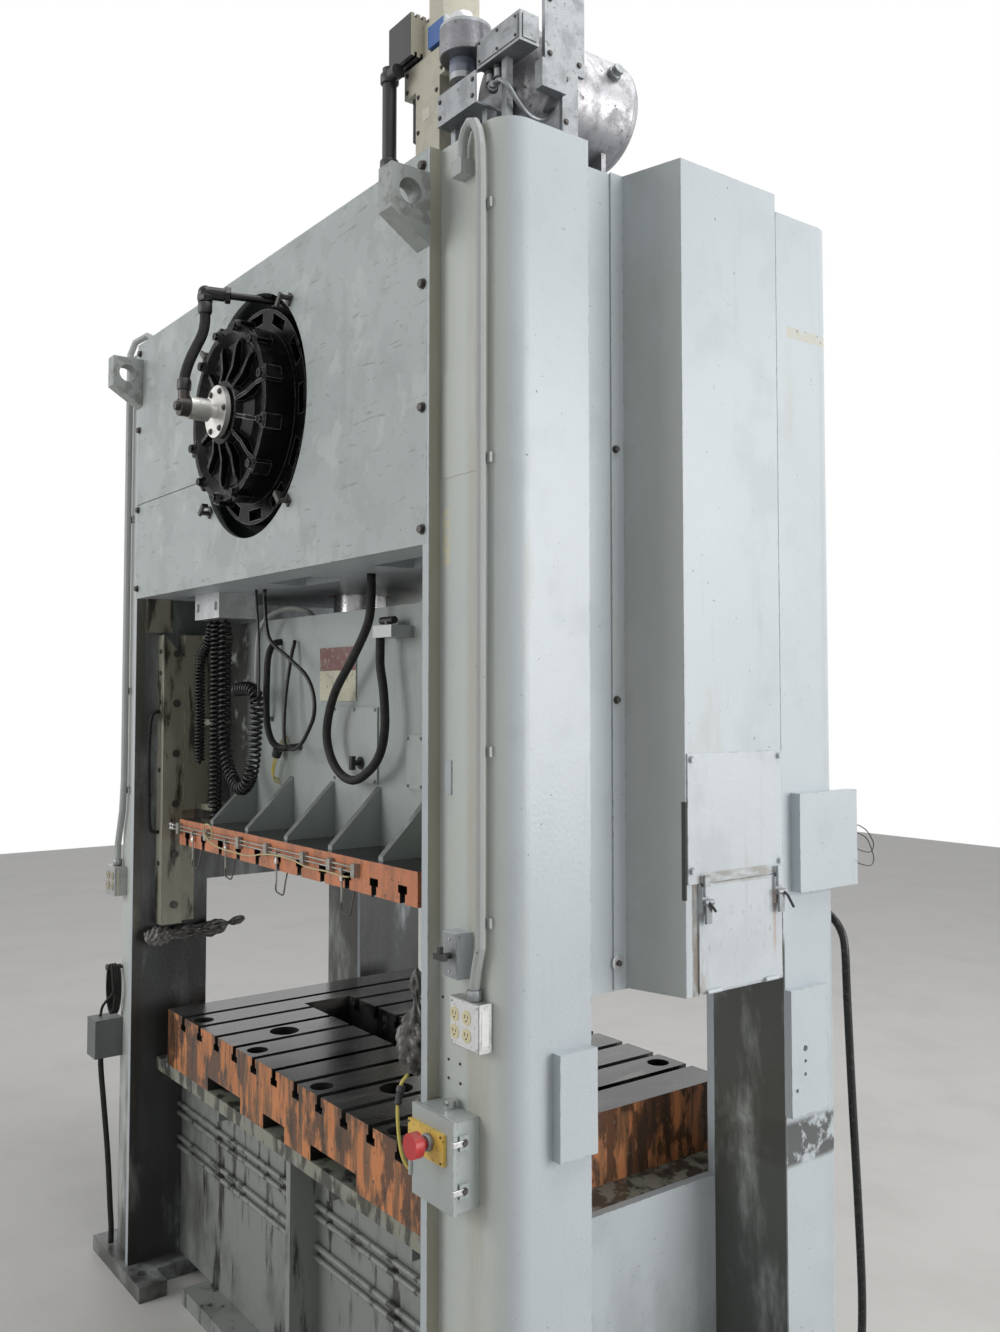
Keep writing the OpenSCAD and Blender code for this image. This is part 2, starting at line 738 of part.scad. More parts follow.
// Hoses and coiled cords that hang between the crown and the slide
thick_route = [[344, -406, 2624.5], [344, -406, 2543], [328, -408, 2468], [248, -410, 2373], [126, -412, 2253],
    [74, -412, 2137], [96, -412, 2053], [163, -412, 1995], [253, -412, 1977], [346, -412, 2011],
    [411, -412, 2066], [439, -412, 2146], [432, -412, 2252], [412, -412, 2330], [407, -410, 2370],
    [407, -410, 2420.5]];
thin_route = [[-342, -440, 2624.5], [-342, -440, 2580], [-306, -440, 2451], [-156, -440, 2376],
    [-29, -440, 2316], [29, -440, 2253], [37, -440, 2183], [-4, -440, 2126], [-61, -440, 2078],
    [-142, -432, 2061], [-219, -420, 2090], [-245, -405, 2228], [-256, -380, 2368], [-262, -360, 2440]];
bow_route = [[-612, -470, 2529.5], [-612, -470, 2300], [-608, -470, 2100], [-575, -470, 1985],
    [-520, -470, 1930], [-452, -470, 1910], [-392, -470, 1945], [-358, -470, 2020], [-348, -470, 2110],
    [-336, -466, 2200], [-334, -458, 2263]];
coil_route = [[-744, -470, 2529.5], [-744, -470, 2500], [-770, -470, 2450], [-818, -470, 2415],
    [-850, -470, 2370], [-850, -470, 2290]];
module slide_hoses() {
    color("#1d1d1e") tube(thick_route, 14.5, 10);
    color("#1d1d1e") tube(thin_route, 7, 8);
}

module coiled_cords() {
    color("#1d1d1e") tube(bow_route, 26, 10);
    color("#1d1d1e") bar_z(-690, -470, plate_top + fit, 2529.5, 28);
    color("#1d1d1e") tube(coil_route, 9, 8);
    color("#1d1d1e") bar_z(-850, -470, 1951, 2290, 22);
}

// A cable that loops from the left gib rail, and one that hangs behind the right rear column
loop_y = -gib_y - gib_d;
loop_route = [[-1000, loop_y, 1710], [-1000, loop_y - 20, 1710], [-1000, loop_y - 36, 1740],
    [-1000, loop_y - 42, 1900], [-1000, loop_y - 42, 2060], [-1000, loop_y - 36, 2150],
    [-1000, loop_y - 20, 2180], [-1000, loop_y, 2180]];
drop_route = [[1240, 622.3, 1600], [1240, 640, 1600], [1256, 650, 1588], [1290, 650, 1556], [1308, 650, 1504], [1316, 648, 1350],
    [1329, 648, 1064], [1345, 648, 756], [1352, 650, 500], [1340, 655, 300], [1326, 660, 160], [1324, 662, 110], [1324, 662, 57.3]];
module loop_cable() { color("#1d1d1e") tube(loop_route, 7, 8); }
module rear_cable() { color("#1d1d1e") tube(drop_route, 12, 8); }

module junction_box() {
    left = -0.4535 * plate_w;
    right = -0.32 * plate_w;
    color("#9ea3a5") {
        block([left, -530, body_top + 6], [right, -body_half - 30, crown_bottom]);
        for (x = [left + 24, right - 36]) block([x, -538, body_top + 36], [x + 12, -530, body_top + 66]);
    }
}

// Lubrication lines clipped along the front of the slide plate
module lube_lines() {
    y = -plate_d / 2 - 9;
    color("#8f8577") {
        for (z = [plate_top - 26, plate_top - 40]) bar_x(y, z, -0.525 * plate_w, 0.308 * plate_w, 3);
        for (f = [-0.49, -0.334, -0.167, -0.036, 0.119, 0.221, 0.309]) translate([f * plate_w, 0, 0])
            block([-11, y - 9, plate_top - 54], [11, -plate_d / 2, plate_top - 14]);
        for (f = [-0.41, -0.233, 0.006, 0.263]) translate([f * plate_w, 0, 0]) {
            translate([0, y, plate_bottom - 40]) cylinder(h = plate_t - 10, r = 3);
            block([-8, y - 6, plate_bottom + 46], [8, -plate_d / 2, plate_bottom + 62]);
        }
    }
}

// Services on the columns
module conduits() {
    y = -half_d - 20;
    a = half_w - 68;
    b = -half_w + 120;
    h = frame_h;
    color("#a9aeb1") {
        tube([[a - 24, y, 1528], [a - 24, y, 1556], [a - 16, y, 1600], [a, y, 1656], [a, y, 2300],
            [a, y, 3100], [a, y, h - 140], [a - 2, y, h - 69], [a - 10, y, h - 28], [a - 26, y, h - 2],
            [a - 46, y, h + 6], [a - 64, y, h - 6], [a - 76, y, h - 32], [a - 79, y, h - 78]], 13, 10);
        block([a - 101, y - 18, h - 118], [a - 57, -half_d, h - 78]);
        tube([[b - 62, y, 1555], [b - 62, y, 1640], [b - 15, y, 1780], [b, y, 1900], [b, y, 2700],
            [b, y, h - 100], [b + 2, y, h], [b + 20, y + 14, h + 50], [b + 70, y + 46, h + 72],
            [b + 110, y + 60, h + 50], [b + 114, y + 62, h + 24], [b + 114, y + 62, h + fit]], 13, 10);
        for (f = [0, 0.233, 0.64, 1]) translate([0, 0, 1700 + f * (h - 1920)]) {
            block([a - 30, -half_d - 7, 0], [a + 20, -half_d, 24]);
            block([b - 40, -half_d - 7, 150], [b + 20, -half_d, 174]);
        }
    }
}

module receptacle_boxes() {
    y = -half_d;
    color("#a5aaad") {
        block([half_w - 170, y - 35, 1415], [half_w - 50, y, 1528]);
        block([-half_w + 5, y - 50, 1440], [-half_w + 115, y, 1555]);
        block([-half_w - 10, y - 110, 800], [-half_w + 90, y, 950]);
    }
    color("#e6e0cc") for (x = [0, 49], z = [1448, 1489]) {
        bar_y(half_w - 148 + x, z, y - 38, y - 35, 17);
        bar_y(-half_w + 35 + x, z + 29, y - 53, y - 50, 17);
    }
}

module disconnect_handle() {
    x = half_w - 154;
    y = -half_d - 45;
    color("#1e1e1e") {
        bar_y(x, 1626, y - 24, y - 0.3, 8);
        block([x - 22, y - 36, 1619], [x + 22, y - 24, 1633]);
        block([x - 5, y - 36, 1626], [x + 5, y - 24, 1650]);
    }
}

module column_boxes() {
    color(paint) {
        block([half_w - 188, -half_d - 45, 1572], [half_w - 126, -half_d, 1680]);
        block([half_w - 240, -half_d - 4, 2000], [half_w - 214, -half_d, 2085]);
        block([half_w, 397, 1691], [half_w + 32, 657, 1968]);
        block([half_w, -481, 1150], [half_w + 30, -364, 1400]);
    }
    color(paint) difference() {
        block([half_w, 358, 1073], [half_w + 26, 515, 1422]);
        for (p = [[417, 1256, 9], [417, 1221, 5], [416, 1185, 5.5], [380, 1145, 6]])
            bar_x(p[0], p[1], half_w + 14, half_w + 27, p[2]);
    }
}

module control_box() {
    x = half_w - 260;
    color(paint) difference() {
        union() {
            block([x, -688, 1047], [x + 163, -half_d, 1255]);
            translate([x + 74, -646, 1255]) cylinder(h = 20, r = 15);
            for (z = [1080, 1190]) block([x + 163, -684, z], [x + 171, -658, z + 34]);
        }
        block([x + 6, -689, 1053], [x + 157, -half_d - 6, 1249]);
    }
}

module control_door() {
    x = half_w - 269;
    color(paint) {
        difference() {
            block([x, -700, 1043], [x + 176, -688 - fit, 1259]);
            bar_y(x + 89, 1192, -701, -687, 13);
        }
        bar_z(x - 4, -701, 1085, 1215, 6);
    }
    color("#e3bd45") difference() {
        block([x - 3, -710, 1150], [x + 147, -700, 1222]);
        bar_y(x + 89, 1192, -711, -699, 13);
    }
}

module stop_button() {
    x = half_w - 180;
    color("#c0272d") {
        bar_y(x, 1192, -740, -702, 12.7);
        bar_y(x, 1192, -764, -740, 30);
    }
}

// Equipment on top of the crown
module air_tank() {
    color("#b5b2ac") {
        translate([1112, -430, frame_h + 195]) rotate([-90, 0, 0]) rotate_extrude() polygon(concat([[0, -52]],
            [for (a = [80 : -10 : 0]) [152 * cos(a), -52 * sin(a)]],
            [for (a = [0 : 10 : 80]) [152 * cos(a), 290 + 52 * sin(a)]], [[0, 342]]));
        for (y = [-400, -200]) block([1030, y, frame_h], [1194, y + 16, frame_h + 62]);
        bar_z(1112, -200, frame_h + 340, frame_h + 366, 14);
    }
}

module valve_stack() {
    color("#a9aeb0") {
        difference() {
            block([1000, -600, frame_h + 87], [1170, -490, frame_h + 169]);
            block([999, -595, frame_h + 92], [1171, -495, frame_h + 170]);
        }
        for (x = [1005, 1145]) block([x, -560, frame_h], [x + 20, -530, frame_h + 87]);
    }
    color("#9aa1a6") {
        block([1122, -560, frame_h + 202], [1300, -500, frame_h + 278]);
        block([1200, -540, frame_h], [1220, -520, frame_h + 202]);
    }
    color("#d8d2b8") for (x = [1140, 1174]) bar_z(x, -530, frame_h + 172, frame_h + 202, 12);
    color("#9aa1a6") {
        block([1272, -468, frame_h + 182], [1284, -338, frame_h + 560]);
        block([1272, -411.5, frame_h], [1284, -360, frame_h + 182]);
    }
    color("#c9c9c6") block([1270, -489, frame_h + 110], [1300, -411.5, frame_h + 182]);
}

module filter_unit() {
    color("#cfcbb2") {
        block([833, -560, frame_h], [950, -450, frame_h + 265]);
        block([775, -560, frame_h + 265], [975, -485, frame_h + 345]);
        block([861, -555, frame_h + 345], [900, -490, frame_h + 440]);
    }
    color("#2a2a2c") {
        for (k = [0 : 5]) block([746, -594 + k * 19, frame_h + 350], [861, -583 + k * 19, frame_h + 470]);
        block([760, -594, frame_h + 362], [861, -490, frame_h + 458]);
    }
    color("#2456b8") block([900, -565, frame_h + 355], [985, -435, frame_h + 415]);
    color("#c9c4ae") block([900, -560, frame_h + 415], [966, -440, frame_h + 560]);
    color("#8d9092") {
        bar_z(1050, -545, frame_h + 265, frame_h + 345, 68);
        bar_z(1037, -545, frame_h + 210, frame_h + 266, 35);
        bar_x(-540, frame_h + 305, 975, 1000, 14);
    }
    color("#262626") {
        bar_z(760, -600, frame_h, frame_h + 350, 20);
        bar_x(-600, frame_h + 326, 760, 806, 20);
        bar_z(800, -522, frame_h + 150, frame_h + 265, 22);
    }
}

// Fittings in tied bags, hung by the slide guides
module wrapped_fittings() {
    bag_x = upright_in - 50 - fit;
    color("#34322f") {
        translate([-upright_in + wrap_r + fit, 0, gib_bottom - 47]) {
            bar_y(0, 0, -600, -window_y - 8, wrap_r);
            translate([0, -600, 0]) sphere(r = wrap_r, $fn = 24);
        }
        translate([bag_x, -640, 0]) rotate_extrude($fn = 24) polygon([[0, 1290], [30, 1296], [46, 1350],
            [50, 1440], [50, 1480], [40, 1512], [14, 1534], [10, 1540], [22, 1556], [0, 1558]]);
    }
}

feet();
bed_weldment();
bed_top_plate();
bed_pipes();
bolster();
upright_left();
upright_right();
front_columns();
rear_columns();
side_panels();
side_cover_left();
side_cover_right();
upper_access_cover();
lower_access_cover();
draw_latch_near();
draw_latch_far();
crown_plates();
crown_walls();
crown_webs();
crown_cover();
lifting_lugs();
flywheel();
clutch_cover();
drive_shaft();
shaft_bearings();
hub_flange();
rotary_union();
union_hose();
supply_pipe();
slide_body();
slide_gussets();
guide_shoes();
slide_plate();
plungers();
plunger_bushes();
gib_rails();
slide_panel();
panel_knob();
swing_latch_1();
swing_latch_2();
swing_latch_3();
swing_latch_4();
slide_hoses();
coiled_cords();
loop_cable();
rear_cable();
junction_box();
control_box();
control_door();
stop_button();
conduits();
receptacle_boxes();
disconnect_handle();
column_boxes();
lube_lines();
cover_bolts();
air_tank();
valve_stack();
filter_unit();
wrapped_fittings();
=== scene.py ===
"""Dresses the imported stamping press: camera and light, hoses, procedural finishes and small fittings."""
import math

import bpy
import numpy as np
from mathutils import Matrix, Vector


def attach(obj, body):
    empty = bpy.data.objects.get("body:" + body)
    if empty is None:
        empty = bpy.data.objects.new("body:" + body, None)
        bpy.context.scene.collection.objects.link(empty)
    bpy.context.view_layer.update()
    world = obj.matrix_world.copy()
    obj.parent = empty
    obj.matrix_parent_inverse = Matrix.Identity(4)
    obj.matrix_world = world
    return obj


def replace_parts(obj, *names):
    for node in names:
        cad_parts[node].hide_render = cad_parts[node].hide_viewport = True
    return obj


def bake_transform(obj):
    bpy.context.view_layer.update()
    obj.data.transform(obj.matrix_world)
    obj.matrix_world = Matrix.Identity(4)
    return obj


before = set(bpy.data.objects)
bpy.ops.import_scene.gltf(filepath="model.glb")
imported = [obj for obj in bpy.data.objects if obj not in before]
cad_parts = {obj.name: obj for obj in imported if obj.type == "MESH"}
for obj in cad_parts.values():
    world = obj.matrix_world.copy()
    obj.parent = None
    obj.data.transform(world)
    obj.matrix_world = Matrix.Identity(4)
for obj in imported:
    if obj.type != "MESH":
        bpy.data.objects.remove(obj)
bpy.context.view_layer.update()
MM = 0.001
UP, DOWN, FRONT, RIGHT = (0, 0, 1), (0, 0, -1), (0, -1, 0), (1, 0, 0)
BAG_SIDES, BAG_RINGS, BAG_DEPTH = 56, 90, 0.16


# -------------------------------- surfaces
def put(name, points, faces, body, coat, smooth=True):
    """Makes one mesh piece from an (n, 3) array of points in metres and rides it on a CAD body."""
    mesh = bpy.data.meshes.new(name)
    mesh.from_pydata([tuple(p) for p in np.asarray(points, float)], [], [tuple(int(i) for i in f) for f in faces])
    mesh.materials.append(coat)
    mesh.polygons.foreach_set("use_smooth", np.full(len(mesh.polygons), smooth))
    mesh.update()
    piece = bpy.data.objects.new(name, mesh)
    bpy.context.scene.collection.objects.link(piece)
    if body:
        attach(piece, body)
    return piece


def grid_faces(rows, cols, around=True):
    """Quads between neighbouring rows of a rows by cols grid; around closes each row on itself."""
    r, c = np.meshgrid(np.arange(rows - 1), np.arange(cols if around else cols - 1), indexing="ij")
    d = (c + 1) % cols
    quads = np.stack([r * cols + c, r * cols + d, (r + 1) * cols + d, (r + 1) * cols + c], -1)
    return quads.reshape(-1, 4).tolist()


def closed_faces(rows, sides):
    """Faces of a tube of rows rings, with both end rings filled."""
    count = rows * sides
    return grid_faces(rows, sides) + [list(range(sides))[::-1], list(range(count - sides, count))]


def read_at(at, run, rows):
    """The (n, 3) rows, given at the values run, read at the values at."""
    return np.stack([np.interp(at, run, rows[:, k]) for k in range(3)], 1)


def smooth_route(points, step):
    """Catmull-Rom curve, in metres, through points in millimetres, resampled at equal steps of arc length."""
    p = np.asarray(points, float) * MM
    q = np.vstack([2 * p[0] - p[1], p, 2 * p[-1] - p[-2]])
    t = np.linspace(0, 1, 40, endpoint=False)[:, None]
    a, b, c, d = (q[i:len(q) - 3 + i, None, :] for i in range(4))
    curve = 0.5 * (2 * b + (c - a) * t + (2 * a - 5 * b + 4 * c - d) * t ** 2 + (3 * b - a - 3 * c + d) * t ** 3)
    curve = np.vstack([curve.reshape(-1, 3), p[-1:]])
    run = np.concatenate([[0], np.cumsum(np.linalg.norm(np.diff(curve, axis=0), axis=1))])
    at = np.linspace(0, run[-1], max(4, int(round(run[-1] / step)) + 1))
    return read_at(at, run, curve)


def frames_along(path):
    """Unit tangents with two normals that turn as little as possible from point to point."""
    t = np.gradient(path, axis=0)
    t /= np.linalg.norm(t, axis=1)[:, None]
    n = np.cross(t[0], [0.3, 1.0, 0.2])
    n /= np.linalg.norm(n)
    normals = [n]
    for k in range(1, len(path)):
        n = normals[-1] - t[k] * np.dot(normals[-1], t[k])
        normals.append(n / np.linalg.norm(n))
    n = np.array(normals)
    return t, n, np.cross(t, n)


def axis_frame(axis):
    """The axis as a unit vector, with two unit vectors square to it."""
    axis = np.asarray(axis, float) / np.linalg.norm(axis)
    a = np.cross(axis, [0, 0, 1.0] if abs(axis[2]) < 0.9 else [1.0, 0, 0])
    a /= np.linalg.norm(a)
    return axis, a, np.cross(axis, a)


def tube(name, path, radius, body, coat, sides=12):
    """Round tube: point = path(u) + radius(u) * (cos v * n(u) + sin v * b(u)), with both ends closed."""
    path = np.asarray(path, float)
    t, n, b = frames_along(path)
    r = np.broadcast_to(np.asarray(radius, float), len(path))[:, None, None]
    v = np.linspace(0, 2 * math.pi, sides, endpoint=False)
    ring = np.cos(v)[None, :, None] * n[:, None] + np.sin(v)[None, :, None] * b[:, None]
    points = (path[:, None] + r * ring).reshape(-1, 3)
    return put(name, points, closed_faces(len(path), sides), body, coat)


def lathe(name, profile, centre, axis, coat, sides=32, body="frame"):
    """Turned piece: profile rows are (distance along the axis, radius) in metres, swept round the axis."""
    axis, a, b = axis_frame(axis)
    profile = np.asarray(profile, float)
    v = np.linspace(0, 2 * math.pi, sides, endpoint=False)
    ring = np.cos(v)[:, None] * a + np.sin(v)[:, None] * b
    points = np.asarray(centre, float) + profile[:, :1, None] * axis + profile[:, 1:, None] * ring[None]
    piece = put(name, points.reshape(-1, 3), closed_faces(len(profile), sides), body, coat)
    add_bevel(piece, width=0.0012, angle=30)


def add_bevel(piece, width, angle=40):
    """Rounds the edges sharper than the angle in degrees."""
    bevel = piece.modifiers.new("edge", "BEVEL")
    bevel.width = width
    bevel.segments = 2
    bevel.limit_method = "ANGLE"
    bevel.angle_limit = math.radians(angle)
    bevel.harden_normals = True


BOX = np.array([[x, y, z] for z in (0, 1) for y in (0, 1) for x in (0, 1)], float)
BOX_FACES = [[0, 2, 3, 1], [4, 5, 7, 6], [0, 1, 5, 4], [2, 6, 7, 3], [0, 4, 6, 2], [1, 3, 7, 5]]


def blocks(name, corners, coat, edge=0.002, body="frame"):
    """Rectangular plates or bars, each from its lowest to its highest corner in millimetres, edges rounded."""
    points, faces = [], []
    for k, (low, high) in enumerate(corners):
        low, high = np.asarray(low, float) * MM, np.asarray(high, float) * MM
        points.append(low + BOX * (high - low))
        faces += [[i + 8 * k for i in f] for f in BOX_FACES]
    add_bevel(put(name, np.vstack(points), faces, body, coat, smooth=False), edge)


def bolt_heads(name, places, axis, radius, coat, washer=True, body="frame", sides=24):
    """Chamfered hexagon heads at places in millimetres: rings of (height, radius), both in head radii.

    A hexagon's radius at angle v is cos(30) / cos(v mod 60 - 30), in degrees."""
    axis, a, b = axis_frame(axis)
    v = np.linspace(0, 2 * math.pi, sides, endpoint=False)
    hexagon = math.cos(math.pi / 6) / np.cos((v % (math.pi / 3)) - math.pi / 6)
    disc = np.ones(sides)
    rows = [(0.0, 1.35 * disc), (0.16, 1.35 * disc), (0.18, 1.3 * disc)] if washer else []
    rows += [(0.18, hexagon), (0.72, hexagon), (0.82, 0.86 * disc), (0.82, 0.02 * disc)]
    rim = np.cos(v)[:, None] * a + np.sin(v)[:, None] * b
    shape = np.vstack([height * axis + reach[:, None] * rim for height, reach in rows])
    one, points, faces = closed_faces(len(rows), sides), [], []
    for k, place in enumerate(places):
        points.append(shape * radius * MM + np.asarray(place, float) * MM)
        faces += [[i + len(shape) * k for i in f] for f in one]
    put(name, np.vstack(points), faces, body, coat, smooth=False)


# -------------------------------- finishes
class Finish:
    """A procedural surface: a base colour and roughness under layers, each with a mask from 0 to 1."""

    def __init__(self, name, colour, rough, metal=0.0, coat=0.0, specular=0.5):
        self.material = bpy.data.materials.new(name)
        self.material.use_nodes = True
        self.tree = self.material.node_tree
        self.shader = self.tree.nodes["Principled BSDF"]
        self.shader.inputs["Base Color"].default_value = (*colour, 1)
        self.shader.inputs["Roughness"].default_value = rough
        self.shader.inputs["Metallic"].default_value = metal
        self.shader.inputs["Specular IOR Level"].default_value = specular
        self.shader.inputs["Coat Weight"].default_value = coat
        self.shader.inputs["Coat Roughness"].default_value = 0.08
        self.colour, self.rough, self.metal = (*colour, 1), rough, metal
        self.place = self.add("ShaderNodeTexCoord").outputs["Object"]

    def add(self, kind, **settings):
        node = self.tree.nodes.new(kind)
        for key, value in settings.items():
            setattr(node, key, value)
        return node

    def feed(self, socket, value):
        """Links the value to the socket, or sets it where it is a plain one."""
        if isinstance(value, bpy.types.NodeSocket):
            self.tree.links.new(value, socket)
        else:
            socket.default_value = value

    def math(self, operation, a, b=0.0, clamp=False):
        node = self.add("ShaderNodeMath", operation=operation, use_clamp=clamp)
        self.feed(node.inputs[0], a)
        self.feed(node.inputs[1], b)
        return node.outputs[0]

    def ramp(self, value, low, high):
        """Smooth step: 0 at low and 1 at high, which may be the smaller one."""
        node = self.add("ShaderNodeMapRange", interpolation_type="SMOOTHSTEP")
        self.feed(node.inputs["Value"], value)
        node.inputs["From Min"].default_value = low
        node.inputs["From Max"].default_value = high
        return node.outputs["Result"]

    def noise(self, size, low=0.45, high=0.62, stretch=(1, 1, 1), shift=0.0, detail=6, rough=0.6):
        """Cloudy patches of about size metres; stretch above 1 draws them out along that axis."""
        turn = self.add("ShaderNodeMapping")
        self.feed(turn.inputs["Vector"], self.place)
        turn.inputs["Scale"].default_value = [1 / s for s in stretch]
        turn.inputs["Location"].default_value = (shift, shift * 0.7, shift * 1.3)
        node = self.add("ShaderNodeTexNoise")
        self.feed(node.inputs["Vector"], turn.outputs[0])
        node.inputs["Scale"].default_value = 1 / size
        node.inputs["Detail"].default_value = detail
        node.inputs["Roughness"].default_value = rough
        return self.ramp(node.outputs[0], low, high) if low is not None else node.outputs[0]

    def runs(self, size, low, high, longer, shift=0.0):
        """Noise drawn out downwards, so many times longer than wide."""
        return self.noise(size, low, high, (1, 1, longer), shift)

    def along(self, axis):
        """The place on the piece along X, Y or Z, in metres."""
        node = self.add("ShaderNodeSeparateXYZ")
        self.feed(node.inputs[0], self.place)
        return node.outputs["XYZ".index(axis)]

    def band(self, axis, low, high, soft):
        """1 between low and high metres along an axis, fading over soft at both ends."""
        at = self.along(axis)
        up = self.ramp(at, low - soft / 2, low + soft / 2)
        down = self.ramp(at, high - soft / 2, high + soft / 2)
        return self.math("SUBTRACT", up, down, clamp=True)

    def patch(self, low, high, soft=0.01):
        """1 inside a box given in metres, with faded sides."""
        return self.both(*(self.band(a, l, h, soft) for a, l, h in zip("XYZ", low, high)))

    def both(self, *masks):
        """1 where all masks are 1."""
        out = masks[0]
        for m in masks[1:]:
            out = self.math("MULTIPLY", out, m)
        return out

    def facing(self, axis, low=0.6, high=0.9):
        """1 where the normal's part along the axis is past high; both below 0 pick the other side."""
        geometry = self.add("ShaderNodeNewGeometry")
        node = self.add("ShaderNodeSeparateXYZ")
        self.feed(node.inputs[0], geometry.outputs["Normal"])
        return self.ramp(node.outputs["XYZ".index(axis)], low, high)

    def edges(self, radius, low=0.02, high=0.25):
        """1 near convex and concave edges, from how far a bevelled normal leans off the true one."""
        bevel = self.add("ShaderNodeBevel", samples=4)
        bevel.inputs["Radius"].default_value = radius
        geometry = self.add("ShaderNodeNewGeometry")
        dot = self.add("ShaderNodeVectorMath", operation="DOT_PRODUCT")
        self.feed(dot.inputs[0], bevel.outputs[0])
        self.feed(dot.inputs[1], geometry.outputs["True Normal"])
        return self.ramp(self.math("SUBTRACT", 1.0, dot.outputs["Value"]), low, high)

    def layer(self, mask, colour=None, rough=None, metal=None, amount=1.0):
        """Lays colour, roughness and metal over what is there, where the mask or each mask of a list is 1."""
        if isinstance(mask, list):
            mask = self.both(*mask)
        if amount != 1.0:
            mask = self.math("MULTIPLY", mask, amount)
        if colour is not None:
            node = self.add("ShaderNodeMix", data_type="RGBA")
            self.feed(node.inputs["Factor"], mask)
            self.feed(node.inputs[6], self.colour)
            self.feed(node.inputs[7], (*colour, 1))
            self.colour = node.outputs[2]
        for key, value in (("rough", rough), ("metal", metal)):
            if value is not None:
                node = self.add("ShaderNodeMix", data_type="FLOAT")
                self.feed(node.inputs["Factor"], mask)
                self.feed(node.inputs[2], getattr(self, key))
                self.feed(node.inputs[3], value)
                setattr(self, key, node.outputs[0])

    def relief(self, height, depth):
        """Bumps of depth metres, on top of the bumps that are there."""
        node = self.add("ShaderNodeBump")
        node.inputs["Distance"].default_value = depth
        self.feed(node.inputs["Height"], height)
        if self.shader.inputs["Normal"].is_linked:
            self.feed(node.inputs["Normal"], self.shader.inputs["Normal"].links[0].from_socket)
        self.feed(self.shader.inputs["Normal"], node.outputs[0])

    def done(self):
        """Links what the layers left to the shader and gives the material."""
        for key, name in (("colour", "Base Color"), ("rough", "Roughness"), ("metal", "Metallic")):
            value = getattr(self, key)
            if isinstance(value, bpy.types.NodeSocket):
                self.feed(self.shader.inputs[name], value)
        return self.material


GREY = (0.47, 0.515, 0.54)


def frame_paint(name, colour=GREY, dirt=0.5, rough=0.36):
    """Grey press enamel: slight orange peel, cloudy fading, run marks, grime low down and chipped edges."""
    f = Finish(name, colour, rough)
    dark = tuple(c * 0.62 for c in colour)
    f.layer(f.noise(0.9, 0.35, 0.7), tuple(c * 0.90 for c in colour), amount=0.8)
    f.layer(f.noise(0.22, 0.5, 0.66, shift=3.1), tuple(c * 0.86 for c in colour), rough + 0.14, amount=dirt)
    f.layer(f.runs(0.05, 0.6, 0.72, 14, shift=1.7), dark, rough + 0.2, amount=0.35 * dirt)
    f.layer([f.runs(0.3, 0.42, 0.62, 3), f.band("Z", -0.5, 0.5, 0.9)], (0.12, 0.115, 0.10), 0.6, amount=0.75 * dirt)
    f.layer(f.noise(0.014, 0.71, 0.74, detail=3), (0.09, 0.08, 0.075), 0.6, amount=0.7)
    f.layer([f.edges(0.005), f.noise(0.03, 0.5, 0.6, shift=5)], (0.10, 0.095, 0.09), 0.55, amount=0.8)
    f.relief(f.noise(0.012, None, detail=2), 0.0006)
    return f


def enamel(name, colour, rough=0.3, coat=0.0, chips=0.5):
    """A small painted or moulded piece with light dust, handling marks and worn edges."""
    f = Finish(name, colour, rough, coat=coat)
    f.layer(f.noise(0.06, 0.45, 0.7), tuple(c * 0.78 + 0.01 for c in colour), rough + 0.12, amount=0.7)
    f.layer([f.facing("Z", 0.5, 0.95), f.noise(0.02, 0.35, 0.6)], (0.30, 0.28, 0.25), 0.75, amount=0.35)
    f.layer([f.edges(0.003), f.noise(0.015, 0.45, 0.6)], (0.22, 0.21, 0.2), 0.5, amount=chips)
    f.relief(f.noise(0.006, None, detail=3), 0.0004)
    return f


def metal_skin(name, colour, rough, grime=0.5, grain=(1, 1, 1)):
    """Bare or zinc-coated metal: fine grain, dull bloom and oily grime."""
    f = Finish(name, colour, rough, 0.9)
    f.layer(f.noise(0.004, 0.4, 0.65, stretch=grain), tuple(c * 0.8 for c in colour), rough + 0.1, amount=0.6)
    f.layer(f.noise(0.05, 0.42, 0.65), tuple(c * 0.55 for c in colour), rough + 0.2, 0.5, amount=grime)
    f.layer(f.noise(0.012, 0.6, 0.68, shift=2), (0.06, 0.045, 0.03), 0.65, 0.1, amount=grime)
    f.relief(f.noise(0.005, None, detail=3), 0.0003)
    return f


paint = frame_paint("frame_enamel").done()

# Columns: a painted shade tint on the faces that look to the front, a stained strip behind the conduit, dirt at fixed
# places, painted shade on the rear columns' front faces low down, tape at the rear right.
f = frame_paint("column_enamel", dirt=0.4, rough=0.30)
# Painted shade colour: the faces that look to the front get a greenish cream tint, drawn in runs, standing in for the
# colour of their shade.
f.layer([f.facing("Y", -0.55, -0.95), f.runs(0.5, 0.15, 0.5, 2)], (0.54, 0.57, 0.525), 0.36, amount=0.8)
f.layer([f.patch((1.17, -0.64, 0.0), (1.262, -0.60, 3.7), 0.03), f.runs(0.12, 0.34, 0.6, 6, shift=5)],
        (0.40, 0.385, 0.31), 0.45, amount=0.6)
f.layer([f.band("Z", 0.93, 1.05, 0.02), f.patch((1.0, 0.36, -1), (1.4, 0.8, 5), 0.02), f.noise(0.05, 0.38, 0.5)],
        (0.045, 0.045, 0.045), 0.5, amount=0.9)
f.layer(f.runs(0.12, 0.60, 0.70, 5, shift=19), (0.44, 0.445, 0.42), 0.42, amount=0.45)
f.layer(f.noise(0.010, 0.72, 0.745, shift=23), (0.13, 0.12, 0.11), 0.6, amount=0.8)
f.layer([f.band("X", -1.36, -1.0, 0.02), f.band("Z", -0.1, 0.75, 0.35), f.runs(0.14, 0.3, 0.56, 3, shift=9)],
        (0.045, 0.043, 0.038), 0.35, amount=0.8)
